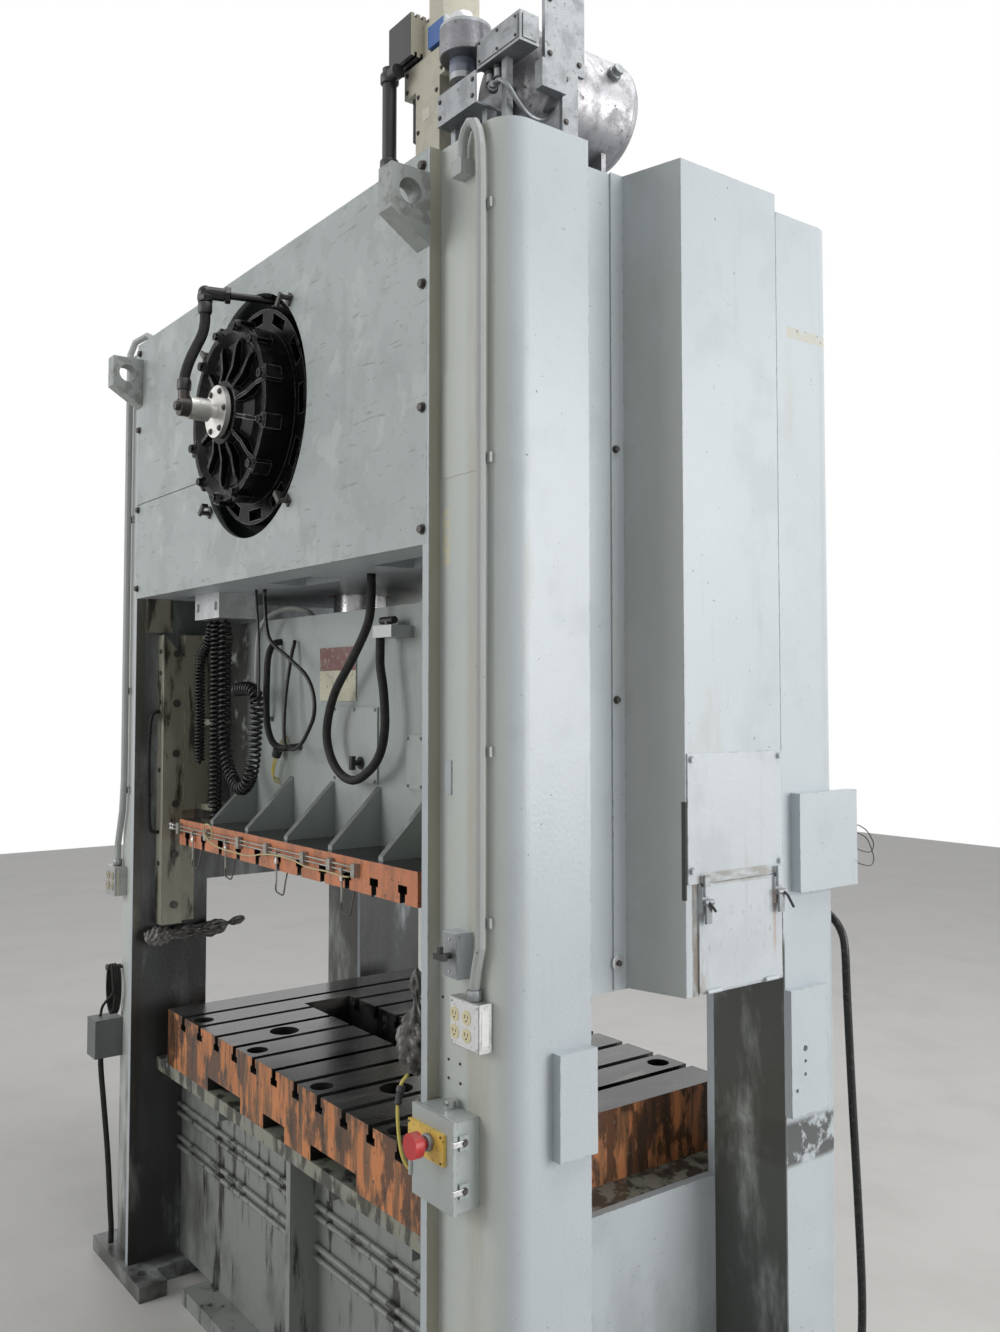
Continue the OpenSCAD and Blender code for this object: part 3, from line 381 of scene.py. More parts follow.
# Painted shade: the rear columns' faces that look to the front are nearly black below 1.56 m, drawn in runs.
f.layer([f.band("Y", 0.350, 0.364, 0.003), f.band("Z", -0.1, 1.56, 0.05), f.runs(0.16, 0.22, 0.5, 3)],
        (0.040, 0.041, 0.034), 0.4, amount=0.9)
tape = f.patch((1.31, 0.40, 3.282), (1.33, 0.59, 3.314), 0.002)
f.layer([tape, f.noise(0.05, 0.34, 0.38)], (0.50, 0.49, 0.43), 0.7, amount=0.85)
f.layer([tape, f.noise(0.02, 0.60, 0.64)], (0.08, 0.07, 0.06), 0.6, amount=0.9)
f.layer([f.patch((1.062, -0.64, 2.565), (1.094, -0.61, 2.71), 0.004), f.noise(0.02, 0.44, 0.5)],
        (0.60, 0.58, 0.44), 0.6)
column = f.done()

# Crown cover: blotches of old and new enamel, short scratches.
f = frame_paint("crown_enamel", (0.40, 0.445, 0.44), dirt=0.9, rough=0.40)
f.layer(f.noise(0.12, 0.56, 0.60, shift=8), (0.33, 0.365, 0.35), 0.5, amount=0.5)
f.layer(f.noise(0.018, 0.66, 0.7, shift=4), (0.16, 0.15, 0.135), 0.6, amount=0.6)
f.layer(f.noise(0.20, 0.54, 0.58, shift=12), (0.335, 0.37, 0.36), 0.48, amount=0.6)
f.layer(f.noise(0.16, 0.56, 0.62, shift=15), (0.47, 0.51, 0.505), 0.36, amount=0.6)
f.layer(f.noise(0.03, 0.63, 0.66, stretch=(3, 3, 0.5), shift=21), (0.20, 0.20, 0.185), 0.6, amount=0.5)
crown_coat = f.done()

f = frame_paint("lug_enamel", (0.33, 0.355, 0.345), dirt=0.9, rough=0.42)
f.layer(f.noise(0.05, 0.48, 0.6, shift=2), (0.15, 0.145, 0.13), 0.55, amount=0.6)
lug_coat = f.done()

conduit_coat = frame_paint("conduit_enamel", (0.40, 0.42, 0.41), dirt=0.6, rough=0.45).done()

f = frame_paint("foot_enamel", (0.30, 0.32, 0.32), dirt=0.9, rough=0.42)
f.layer(f.noise(0.14, 0.3, 0.55), (0.035, 0.033, 0.030), 0.3, amount=0.85)
foot_coat = f.done()

# Side covers: painted shade on the faces that look to the front, a painted shadow gap as a dark slot, worn seams
# beside the access covers.
f = frame_paint("side_cover_enamel", dirt=0.5, rough=0.34)
# Painted shade: the faces that look to the front are darker and greener, drawn in runs.
f.layer([f.facing("Y", -0.3, -0.8), f.runs(0.4, 0.25, 0.6, 2)], (0.36, 0.375, 0.35), 0.45, amount=0.75)
f.layer(f.runs(0.10, 0.58, 0.68, 5, shift=17), (0.43, 0.44, 0.42), 0.45, amount=0.5)
# Painted shadow: a near-black slot where the gap beside the upper access cover lies in shade.
f.layer(f.patch((1.455, -0.1825, 1.745), (1.475, -0.1745, 1.985), 0.003), (0.012, 0.012, 0.012), 0.6, amount=0.95)
f.layer([f.patch((1.455, -0.158, 1.51), (1.475, -0.134, 1.785), 0.003), f.runs(0.03, 0.35, 0.55, 4)],
        (0.16, 0.125, 0.09), 0.6, amount=0.85)
f.layer([f.patch((1.455, 0.170, 1.51), (1.475, 0.190, 2.10), 0.003), f.runs(0.03, 0.35, 0.55, 4)],
        (0.06, 0.05, 0.045), 0.6, amount=0.9)
side_cover_coat = f.done()

# Uprights: yellowed front edge, painted shade on the inner faces, darkest on the left one.
f = frame_paint("upright_enamel", dirt=0.8)
f.layer([f.band("Y", -0.7, -0.624, 0.002), f.facing("X", 0.5, 0.9), f.runs(0.2, 0.2, 0.5, 4)],
        (0.30, 0.275, 0.19), 0.5, amount=0.8)
# Painted shade: the inner faces between the uprights are darker below 2.3 m, drawn in runs.
f.layer([f.band("X", -1.0285, 1.0285, 0.002), f.runs(0.16, 0.36, 0.6, 4, shift=6), f.band("Z", 0, 2.3, 0.5)],
        (0.045, 0.042, 0.038), 0.35, amount=0.75)
left_inside = f.band("X", -1.032, -0.9, 0.003)
# Painted shade: the left upright's inner face is nearly black below 1.45 m and dark above it.
f.layer([left_inside, f.band("Z", 0, 1.45, 0.15), f.runs(0.2, 0.24, 0.46, 3)],
        (0.013, 0.013, 0.012), 0.32, amount=0.93)
f.layer([left_inside, f.band("Z", 1.4, 2.7, 0.1), f.runs(0.2, 0.34, 0.56, 3, shift=3)],
        (0.03, 0.03, 0.027), 0.4, amount=0.75)
upright_coat = f.done()

# Slide: oil on its upward faces; painted shade with dark oil at its left end, behind the coils.
f = frame_paint("slide_enamel", (0.36, 0.40, 0.385), dirt=0.9, rough=0.42)
f.layer([f.facing("Z", 0.3, 0.9), f.noise(0.1, 0.3, 0.5)], (0.06, 0.055, 0.05), 0.4, amount=0.8)
# Painted shade with dark oil: the left end, behind the coils, is nearly black.
f.layer([f.patch((-1.2, -0.6, 1.74), (-0.66, 0.6, 2.6), 0.07), f.noise(0.09, 0.30, 0.46, shift=9)],
        (0.014, 0.013, 0.012), 0.3, amount=0.93)
slide_coat = f.done()

# Slide panel: the bare sign plate as two plain fields; steel and black pieces above it.
f = frame_paint("slide_panel_enamel", (0.40, 0.44, 0.425), dirt=0.7, rough=0.40)
sign_plate = f.patch((-0.0895, -0.3526, 2.2265), (0.1565, -0.3514, 2.4065), 0.0005)
f.layer(sign_plate, (0.55, 0.53, 0.40), 0.4)
f.layer(f.patch((-0.0895, -0.3526, 2.328), (0.1565, -0.3514, 2.4065), 0.0005), (0.16, 0.06, 0.055), 0.35)
f.layer([sign_plate, f.noise(0.02, 0.55, 0.64)], (0.30, 0.29, 0.25), 0.5, amount=0.8)
f.layer(f.band("Z", 2.4205, 2.4584, 0.0004), (0.42, 0.43, 0.43), 0.35, 0.8)
f.layer(f.band("Z", 2.4586, 2.6, 0.0004), (0.015, 0.015, 0.015), 0.35)
panel_coat = f.done()

# Access covers: rust beside the latches, grime along the gap between them, scuffs.
f = frame_paint("access_cover_enamel", (0.50, 0.54, 0.565), dirt=0.6, rough=0.36)
f.layer([f.band("Y", 0.1375, 0.1475, 0.006), f.band("Z", 1.50, 1.742, 0.03), f.runs(0.05, 0.38, 0.52, 12)],
        (0.36, 0.13, 0.045), 0.6, amount=0.8)
f.layer([f.band("Y", -0.20, -0.118, 0.04), f.band("Z", 1.48, 1.62, 0.08), f.runs(0.03, 0.4, 0.56, 5, shift=4)],
        (0.20, 0.12, 0.07), 0.6, amount=0.7)
f.layer([f.band("Z", 1.774, 1.808, 0.006), f.noise(0.03, 0.40, 0.6, stretch=(1, 4, 1))],
        (0.20, 0.17, 0.12), 0.6, amount=0.6)
f.layer([f.band("Z", 1.60, 1.72, 0.05), f.runs(0.018, 0.6, 0.66, 2, shift=11)], (0.30, 0.31, 0.31), 0.5, amount=0.5)
f.layer(f.noise(0.05, 0.62, 0.68, stretch=(1, 0.3, 5), shift=14), (0.40, 0.40, 0.38), 0.5, amount=0.35)
cover_coat = f.done()

# Control box: yellow plate behind the button, bare steel top.
f = frame_paint("control_box_enamel", (0.40, 0.44, 0.43), dirt=0.6, rough=0.34)
button_plate = f.patch((1.0475, -0.7105, 1.1495), (1.1985, -0.7002, 1.2225), 0.0003)
f.layer(button_plate, (0.74, 0.50, 0.10), 0.4)
f.layer([button_plate, f.noise(0.012, 0.56, 0.64)], (0.22, 0.14, 0.05), 0.5, amount=0.7)
f.layer(f.band("Z", 1.2598, 1.30, 0.0004), (0.62, 0.62, 0.61), 0.12, 1.0)
door_coat = f.done()


def orange_plate(name, colour, half_x, half_y, wet):
    """Orange enamel on the outer sides only; the machined faces inside are oily steel with dark run marks."""
    f = Finish(name, colour, 0.45)
    f.layer(f.noise(0.25, 0.4, 0.66), tuple(c * 0.8 for c in colour), 0.5, amount=0.8)
    f.layer(f.runs(0.03, 0.5 - 0.06 * wet, 0.64 - 0.06 * wet, 8, shift=2), (0.10, 0.062, 0.03), 0.25, amount=wet)
    f.layer(f.runs(0.09, 0.5 - 0.05 * wet, 0.58 - 0.05 * wet, 2.5, shift=7), (0.022, 0.017, 0.013), 0.2, amount=wet)
    f.layer(f.noise(0.02, 0.64, 0.68, shift=4), (0.10, 0.075, 0.055), 0.5, amount=0.9)
    f.layer([f.edges(0.006), f.noise(0.03, 0.42, 0.55, shift=5)], (0.16, 0.12, 0.09), 0.5, amount=0.9)
    inside = f.both(f.band("X", -half_x, half_x, 0.0008), f.band("Y", -half_y, half_y, 0.0008))
    f.layer(inside, (0.075, 0.073, 0.072), 0.22, 0.55)
    f.layer([inside, f.noise(0.18, 0.4, 0.62, stretch=(1, 3, 1), shift=9)], (0.022, 0.02, 0.02), 0.12)
    f.layer([inside, f.noise(0.09, 0.58, 0.66, stretch=(1, 4, 1), shift=12)], (0.20, 0.19, 0.17), 0.3, amount=0.6)
    f.relief(f.noise(0.01, None, detail=3), 0.0006)
    return f.done()


bolster_coat = orange_plate("bolster_enamel", (0.60, 0.225, 0.08), 0.9135, 0.5555, 0.8)
slide_plate_coat = orange_plate("slide_plate_enamel", (0.62, 0.225, 0.105), 0.8375, 0.5485, 0.25)

# Bed: oily steel with run marks and a paler rim below the bolster.
f = Finish("oily_bed_steel", (0.13, 0.135, 0.125), 0.35, 0.1)
f.layer(f.runs(0.3, 0.3, 0.5, 2), (0.28, 0.30, 0.285), 0.45, amount=0.85)
f.layer(f.runs(0.06, 0.54, 0.66, 6, shift=3), (0.03, 0.028, 0.025), 0.2, amount=0.85)
rim = f.band("Z", 0.78, 0.84, 0.002)
f.layer([rim, f.noise(0.08, 0.35, 0.5, stretch=(3, 1, 1))], (0.27, 0.27, 0.21), 0.5, amount=0.8)
f.layer([rim, f.runs(0.05, 0.46, 0.56, 3, shift=7)], (0.03, 0.028, 0.022), 0.25, amount=0.85)
f.relief(f.noise(0.02, None, detail=4), 0.0012)
bed_coat = f.done()

worn_steel = metal_skin("worn_steel", (0.42, 0.41, 0.37), 0.42, 0.8).done()
f = Finish("oily_rail_steel", (0.30, 0.295, 0.235), 0.4, 0.2)
f.layer(f.runs(0.15, 0.4, 0.62, 3), (0.40, 0.395, 0.32), 0.45, amount=0.8)
f.layer(f.runs(0.05, 0.5, 0.64, 5, shift=3), (0.035, 0.03, 0.022), 0.22, amount=0.9)
f.layer([f.edges(0.005), f.noise(0.03, 0.4, 0.55, shift=6)], (0.07, 0.06, 0.045), 0.4)
f.relief(f.noise(0.01, None, detail=4), 0.0006)
rail_steel = f.done()
dull_zinc = metal_skin("dull_zinc", (0.28, 0.295, 0.305), 0.45, 0.5).done()
plate_steel = metal_skin("plate_steel", (0.80, 0.81, 0.82), 0.3, 0.3).done()
zinc = metal_skin("zinc_steel", (0.58, 0.59, 0.60), 0.38, 0.35).done()
bright = metal_skin("ground_steel", (0.66, 0.66, 0.66), 0.22, 0.25, (1, 14, 1)).done()
dark_steel = metal_skin("dark_steel", (0.10, 0.095, 0.09), 0.45, 0.5).done()
alloy = metal_skin("cast_alloy", (0.72, 0.71, 0.68), 0.36, 0.3).done()
bronze = metal_skin("bronze", (0.45, 0.30, 0.16), 0.4, 0.6).done()
f = enamel("gloss_black", (0.010, 0.010, 0.011), 0.2, 0.15, 0.25)
f.shader.inputs["Specular IOR Level"].default_value = 0.3
gloss_black = f.done()
f = Finish("clutch_black", (0.006, 0.006, 0.0065), 0.20, specular=0.07)
f.layer(f.noise(0.05, 0.5, 0.7), (0.012, 0.011, 0.010), 0.42, amount=0.8)
# Lighter worn metal on the edges, which also stands in for painted highlights on the ribs and lugs.
f.layer([f.edges(0.006), f.noise(0.04, 0.36, 0.54, shift=2)], (0.34, 0.34, 0.36), 0.25, 0.7, amount=0.7)
f.relief(f.noise(0.006, None, detail=3), 0.0004)
clutch_black = f.done()
f = Finish("pit_black", (0.006, 0.006, 0.006), 0.6, specular=0.05)
f.layer(f.noise(0.08, 0.5, 0.65), (0.014, 0.012, 0.010), 0.45, amount=0.8)
pit_black = f.done()
satin_black = enamel("satin_black", (0.02, 0.02, 0.021), 0.4, 0.0, 0.3).done()
f = metal_skin("union_alloy", (0.70, 0.69, 0.66), 0.36, 0.35)
f.layer(f.band("Y", -0.93, -0.870, 0.002), (0.055, 0.048, 0.043), 0.4, 0.4)
union_coat = f.done()
# Outlet boxes: cream receptacles in front, a darker box low on the left column.
f = metal_skin("outlet_box_zinc", (0.47, 0.48, 0.47), 0.40, 0.45)
f.layer(f.band("Y", -0.6605, -0.65705, 0.0001), (0.66, 0.60, 0.38), 0.42, 0.0)
f.layer([f.band("Y", -0.6755, -0.67205, 0.0001), f.band("Z", 1.44, 1.56, 0.01)], (0.40, 0.37, 0.27), 0.45, 0.0)
f.layer(f.band("Z", 0.79, 0.96, 0.01), (0.13, 0.14, 0.14), 0.5, 0.1)
outlet_box = f.done()
# Pump housing and filter: cream, with black head and pipe side, a blue field and steel beyond it.
f = enamel("unit_cream", (0.52, 0.50, 0.40), 0.45, 0.0, 0.6)
f.layer([f.band("X", 0.745, 0.8608, 0.0004), f.band("Z", 3.9875, 4.12, 0.001)], (0.018, 0.018, 0.02), 0.45)
pipe_side = f.band("X", 0.70, 0.8325, 0.0004)
f.layer([pipe_side, f.band("Z", 3.6, 3.9048, 0.0004)], (0.016, 0.016, 0.017), 0.4)
f.layer([f.band("Y", -0.63, -0.5805, 0.0004), pipe_side], (0.016, 0.016, 0.017), 0.4)
f.layer(f.patch((0.9003, -0.57, 3.9949), (0.99, -0.43, 4.0549), 0.0003), (0.03, 0.11, 0.36), 0.35)
f.layer(f.band("X", 0.9755, 1.2, 0.0004), (0.40, 0.42, 0.43), 0.4, 0.5)
unit_coat = f.done()
f = Finish("black_rubber", (0.018, 0.018, 0.018), 0.55, specular=0.2)
f.layer(f.noise(0.03, 0.45, 0.65), (0.04, 0.038, 0.035), 0.7, amount=0.7)
f.relief(f.noise(0.002, None, detail=2), 0.0003)
rubber = f.done()
f = Finish("shiny_cord", (0.012, 0.012, 0.012), 0.22, specular=0.35)
f.layer(f.noise(0.02, 0.5, 0.7), (0.03, 0.028, 0.025), 0.4)
shiny_cord = f.done()
red = enamel("red_plastic", (0.55, 0.03, 0.03), 0.35, 0.0, 0.2).done()
cream = enamel("cream_enamel", (0.62, 0.60, 0.50), 0.45, 0.0, 0.5).done()
silver = metal_skin("silver_paint", (0.37, 0.365, 0.38), 0.42, 0.7).done()
f = Finish("wrapping_film", (0.075, 0.072, 0.068), 0.28)
f.layer(f.noise(0.03, 0.45, 0.6), (0.17, 0.165, 0.155), 0.42, amount=0.8)
f.relief(f.noise(0.04, None, detail=1), 0.002)
wrap = f.done()

# The finish of each CAD piece; a piece that isn't listed gets the frame enamel.
COATS = [
    (column, "front_columns rear_columns"), (crown_coat, "crown_cover"), (upright_coat, "upright_left upright_right"),
    (slide_coat, "slide_body slide_gussets"), (panel_coat, "slide_panel"), (rail_steel, "guide_shoes gib_rails"),
    (door_coat, "control_door control_box"), (lug_coat, "lifting_lugs"), (foot_coat, "feet"),
    (side_cover_coat, "side_cover_left side_cover_right"), (cover_coat, "upper_access_cover lower_access_cover"),
    (bolster_coat, "bolster"), (slide_plate_coat, "slide_plate"), (bed_coat, "bed_weldment bed_top_plate bed_pipes"),
    (bright, "plungers drive_shaft"), (bronze, "plunger_bushes"),
    (dark_steel, "shaft_bearings cover_bolts swing_latch_1 swing_latch_2 swing_latch_3 swing_latch_4"),
    (pit_black, "flywheel"), (clutch_black, "clutch_cover"), (alloy, "hub_flange"), (union_coat, "rotary_union"),
    (rubber, "union_hose slide_hoses coiled_cords loop_cable rear_cable"), (gloss_black, "supply_pipe"),
    (dull_zinc, "draw_latch_near draw_latch_far valve_stack"), (satin_black, "panel_knob disconnect_handle"),
    (zinc, "junction_box"), (conduit_coat, "conduits"), (outlet_box, "receptacle_boxes"), (red, "stop_button"),
    (worn_steel, "lube_lines"), (silver, "air_tank"), (unit_coat, "filter_unit"), (wrap, "wrapped_fittings"),
]
coat_of = {node_name: coat for coat, names in COATS for node_name in names.split()}
for node_name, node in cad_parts.items():
    node.data.materials.clear()
    node.data.materials.append(coat_of.get(node_name, paint))

# -------------------------------- camera, light and floor
IMAGE_W, IMAGE_H = 1000, 1332
FOCAL_PX, CENTRE_PX = 1160.55, (500.56, 642.29)
CAMERA_AT, YAW, PITCH = (3.4753, -2.2511, 2.2457), math.radians(53.11), math.radians(2.61)
SENSOR_MM = 36
WORLD_GLOW = 0.28  # the white world's share that lights the press; camera, mirror and glass rays see all of it
FLOOR_REACH = 14
ahead = np.array([-math.sin(YAW) * math.cos(PITCH), math.cos(YAW) * math.cos(PITCH), math.sin(PITCH)])
right = np.array([math.cos(YAW), math.sin(YAW), 0.0])
up = np.cross(right, ahead)
lens = bpy.data.cameras.new("camera")
lens.sensor_width = SENSOR_MM
lens.lens = FOCAL_PX / IMAGE_H * SENSOR_MM
lens.shift_x = (IMAGE_W / 2 - CENTRE_PX[0]) / IMAGE_H
lens.shift_y = (CENTRE_PX[1] - IMAGE_H / 2) / IMAGE_H
lens.clip_end = 100
camera = bpy.data.objects.new("camera", lens)
turned = np.stack([right, up, -ahead], 1)
camera.matrix_world = Matrix([(*row, at) for row, at in zip(turned, CAMERA_AT)] + [(0, 0, 0, 1)])
bpy.context.scene.collection.objects.link(camera)
bpy.context.scene.camera = camera
bpy.context.scene.view_settings.view_transform = "Standard"


def soft_lamp(name, place, target, size, power):
    """A large square lamp at place that shines towards target."""
    lamp = bpy.data.lights.new(name, "AREA")
    lamp.size = size
    lamp.energy = power
    holder = bpy.data.objects.new(name, lamp)
    holder.location = place
    holder.rotation_euler = (Vector(target) - holder.location).to_track_quat("-Z", "Y").to_euler()
    bpy.context.scene.collection.objects.link(holder)


soft_lamp("ceiling_lamp", (3.0, 1.0, 8.5), target=(0, 0, 1.5), size=6.0, power=360)
soft_lamp("side_lamp", (8.4, 4.6, 3.3), target=(0.8, 0, 1.6), size=5.0, power=470)
soft_lamp("front_lamp", (-3.0, -8.5, 4.5), target=(0, 0, 1.8), size=5.0, power=330)

world = bpy.data.worlds.new("hall_light")
bpy.context.scene.world = world
world.use_nodes = True
tree = world.node_tree
rays = tree.nodes.new("ShaderNodeLightPath").outputs
seen = rays["Is Camera Ray"]
for kind in ("Is Glossy Ray", "Is Transmission Ray"):
    either = tree.nodes.new("ShaderNodeMath")
    either.operation = "MAXIMUM"
    tree.links.new(seen, either.inputs[0])
    tree.links.new(rays[kind], either.inputs[1])
    seen = either.outputs[0]
strength = tree.nodes.new("ShaderNodeMapRange")
strength.inputs["To Min"].default_value = WORLD_GLOW
strength.inputs["To Max"].default_value = 1.0
tree.links.new(seen, strength.inputs["Value"])
background = tree.nodes["Background"]
background.inputs["Color"].default_value = (1, 1, 1, 1)
tree.links.new(strength.outputs["Result"], background.inputs["Strength"])

f = Finish("pale_floor", (0.62, 0.61, 0.59), 0.5)
f.layer(f.noise(0.8, 0.4, 0.7), (0.55, 0.54, 0.52), 0.45)
floor_coat = f.done()
across = (-FLOOR_REACH, 0, FLOOR_REACH)
floor_points = np.array([[x, y, -0.0005] for y in across for x in across])
put("floor", floor_points, grid_faces(3, 3, around=False), None, floor_coat)

# -------------------------------- hoses and cords
THICK = [(344, -406, 2624.5), (344, -406, 2543), (328, -408, 2468), (248, -410, 2373), (126, -412, 2253),
         (74, -412, 2137), (96, -412, 2053), (163, -412, 1995), (253, -412, 1977), (346, -412, 2011),
         (411, -412, 2066), (439, -412, 2146), (432, -412, 2252), (412, -412, 2330), (407, -410, 2370),
         (407, -410, 2420.5)]
THIN = [(-342, -440, 2624.5), (-342, -440, 2580), (-306, -440, 2451), (-156, -440, 2376), (-29, -440, 2316),
        (29, -440, 2253), (37, -440, 2183), (-4, -440, 2126), (-61, -440, 2078), (-142, -432, 2061),
        (-219, -420, 2090), (-245, -405, 2228), (-256, -380, 2368), (-262, -360, 2440)]
BOW = [(-612, -470, 2529.5), (-612, -470, 2300), (-608, -470, 2100), (-575, -470, 1985), (-520, -470, 1930),
       (-452, -470, 1910), (-392, -470, 1945), (-358, -470, 2020), (-348, -470, 2110), (-342, -466, 2190),
       (-356, -463, 2238), (-392, -462, 2264), (-460, -462, 2270), (-545, -464, 2262)]
UNION = [(0, -884, 3199), (0, -884, 3225), (0, -880, 3255), (0, -866, 3300), (0, -846, 3345), (0, -826, 3390),
         (0, -818, 3430), (0, -818, 3473.5), (0, -818, 3495.5)]


def hang(name, route, radius, coat, body="frame", follow=None, step=0.012):
    """A plain hose along a route in millimetres; step is in metres."""
    path = smooth_route(route, step)
    piece = tube(name, path, radius * MM, None if follow else body, coat, sides=14)
    if follow:
        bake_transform(piece)
    return piece


def coiled(name, route, radius, wire, turns, coat):
    """Curly cord: a helix of the wire round the route, whose radius grows from nothing over an end turn or so."""
    points_per_turn, end_turns = 22, 1.2
    line = smooth_route(route, 0.004)
    n, b = frames_along(line)[1:]
    run = np.linspace(0, 1, turns * points_per_turn)
    centre, n, b = (read_at(run * (len(line) - 1), np.arange(len(line)), rows) for rows in (line, n, b))
    swell = (radius - wire) * MM * np.clip(np.minimum(run, 1 - run) * turns / end_turns, 0, 1)[:, None]
    angle = (2 * math.pi * turns * run)[:, None]
    path = centre + swell * (np.cos(angle) * n + np.sin(angle) * b)
    piece = tube(name, path, wire * MM, None, coat, sides=8)
    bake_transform(piece)
    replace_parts(piece, "coiled_cords")


SLIDE_FOLLOW = ("frame", "slide", (0, -0.41, 2.62), (0, -0.41, 2.42))
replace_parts(hang("main_hose", THICK, 14.2, rubber, follow=SLIDE_FOLLOW), "slide_hoses")
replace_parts(hang("thin_hose", THIN, 6.8, shiny_cord, follow=SLIDE_FOLLOW), "slide_hoses")
route = [(-690, -470, 2529), (-690, -470, 2300), (-690, -470, 2000), (-690, -470, 1780)]
coiled("coil_near_box", route, 27, 5.5, 44, shiny_cord)
route = [(-744, -470, 2529), (-744, -470, 2500), (-770, -470, 2450), (-818, -470, 2415), (-850, -470, 2370),
         (-850, -470, 2200), (-850, -470, 1980)]
coiled("coil_left", route, 21, 4.5, 44, shiny_cord)
coiled("coil_bow", BOW, 26, 5.0, 64, shiny_cord)
LOOP = [(-1000, -572, 1710), (-1000, -592, 1710), (-1000, -608, 1740), (-1000, -614, 1900), (-1000, -614, 2060),
        (-1000, -608, 2150), (-1000, -592, 2180), (-1000, -572, 2180)]
DROP = [(1240, 622.3, 1600), (1240, 640, 1600), (1256, 650, 1588), (1290, 650, 1556), (1308, 650, 1504),
        (1316, 648, 1350), (1329, 648, 1064), (1345, 648, 756), (1352, 650, 500), (1340, 655, 300),
        (1326, 660, 160), (1324, 662, 110), (1324, 662, 57.3)]
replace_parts(hang("rail_cable", LOOP, 7, rubber), "loop_cable")
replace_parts(hang("rear_power_cable", DROP, 12, shiny_cord), "rear_cable")
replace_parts(hang("union_air_hose", UNION, 16.8, rubber), "union_hose")

# -------------------------------- cables and tubing on the slide
grey_sleeve = enamel("grey_sleeve", (0.30, 0.31, 0.30), 0.5, 0.0, 0.2).done()
cream_tube = enamel("cream_tubing", (0.55, 0.47, 0.24), 0.35, 0.0, 0.0).done()
yellow_wire = enamel("yellow_wire", (0.62, 0.52, 0.12), 0.4, 0.0, 0.0).done()
white = enamel("white_film", (0.78, 0.78, 0.76), 0.4, 0.0, 0.0).done()

route = [(-235, -300, 2524.5), (-246, -328, 2548), (-300, -372, 2556), (-372, -404, 2534), (-430, -412, 2496),
         (-458, -412, 2440), (-463, -412, 2300), (-463, -402, 2210), (-463, -372, 2166), (-463, -349, 2158)]
hang("grey_conduit", route, 9, grey_sleeve, body="slide")
route = [(-395, -349, 2440), (-395, -380, 2430), (-394, -400, 2384), (-392, -406, 2300), (-391, -407, 2200),
         (-382, -406, 2134), (-354, -404, 2086), (-308, -400, 2062), (-262, -386, 2060), (-232, -349, 2066)]
hang("black_sleeve", route, 12, rubber, body="slide")
route = [(-380, -456, 2624.5), (-374, -456, 2560), (-359, -457, 2496), (-346, -459, 2400), (-338, -462, 2300),
         (-337, -466, 2210)]
hang("bow_tail", route, 4.5, shiny_cord, follow=SLIDE_FOLLOW)
WIRE = [(-335, -349, 2090), (-342, -366, 2078), (-366, -374, 2036), (-392, -376, 1990), (-404, -372, 1950),
        (-396, -349, 1932)]
for k, (dx, dz) in enumerate(((0, 0), (7, -10), (-6, 8))):
    route = [(x + dx, y, z + dz) for x, y, z in WIRE]
    hang("signal_wire_%d" % k, route, 2.2, yellow_wire, body="slide", step=0.006)
lathe("wire_tie", [(-0.016, 0.003), (-0.014, 0.017), (0.014, 0.018), (0.016, 0.003)], (-0.367, -0.375, 2.038),
      (0.5, 0, 0.8), satin_black, body="slide")

route = [(-540, -567, 1740), (-490, -584, 1731), (-436, -594, 1738), (-404, -602, 1764), (-420, -608, 1790),
         (-456, -610, 1786), (-468, -604, 1756), (-434, -596, 1728), (-372, -588, 1714), (-305, -582, 1710),
         (-160, -578, 1709), (-50, -578, 1726), (60, -577, 1733), (165, -578, 1731), (260, -578, 1721),
         (380, -576, 1722), (462, -572, 1718), (488, -559, 1717)]
hang("lube_run", route, 2.6, cream_tube, body="slide", step=0.008)
HOOP = [(0, -558, 1642), (0, -560, 1624), (4, -560, 1613), (22, -560, 1609), (44, -558, 1606), (51, -556, 1614),
        (52, -552, 1642), (52, -545, 1677)]
TEE = [(0, 0.002), (0.001, 0.008), (0.012, 0.008), (0.014, 0.006), (0.026, 0.006), (0.028, 0.002)]
END = [(0, 0.002), (0.001, 0.0085), (0.018, 0.0085), (0.020, 0.007), (0.036, 0.007), (0.038, 0.003)]
for k, x in enumerate((-687, -390, 10, 441)):
    hoop = smooth_route([(x + dx, y, z) for dx, y, z in HOOP], 0.003)
    tube("lube_drop_%d" % k, hoop, 0.0026, "slide", dark_steel, sides=8)
    lathe("lube_tee_%d" % k, TEE, (x * MM, -0.558, 1.70), UP, bright, body="slide", sides=6)
for k, z in enumerate((1.747, 1.733)):
    lathe("lube_end_%d" % k, END, (-0.916, -0.558, z), RIGHT, bright, body="slide", sides=16)

# -------------------------------- fittings of the clutch's air line
SLEEVE = [(0, 0.017), (0.001, 0.0205), (0.006, 0.0225), (0.030, 0.0225), (0.036, 0.0205), (0.038, 0.017)]
lathe("hose_sleeve_low", SLEEVE, (0, -0.884, 3.1995), UP, satin_black)
lathe("hose_sleeve_high", SLEEVE, (0, -0.818, 3.4945), DOWN, satin_black)
NUT = [(0, 0.020), (0.001, 0.0255), (0.003, 0.027), (0.017, 0.027), (0.019, 0.0255), (0.020, 0.020)]
lathe("elbow_nut_low", NUT, (0, -0.818, 3.4965), UP, gloss_black, sides=6)
lathe("elbow_nut_high", NUT, (0.021, -0.762, 3.5235), (0.36, 0.93, -0.034), gloss_black, sides=6)
flange = [(68 * math.cos(a), -780, 3149 + 68 * math.sin(a)) for a in np.arange(6) * math.pi / 3]
bolt_heads("flange_bolts", flange, FRONT, 8, dark_steel, body="shaft")

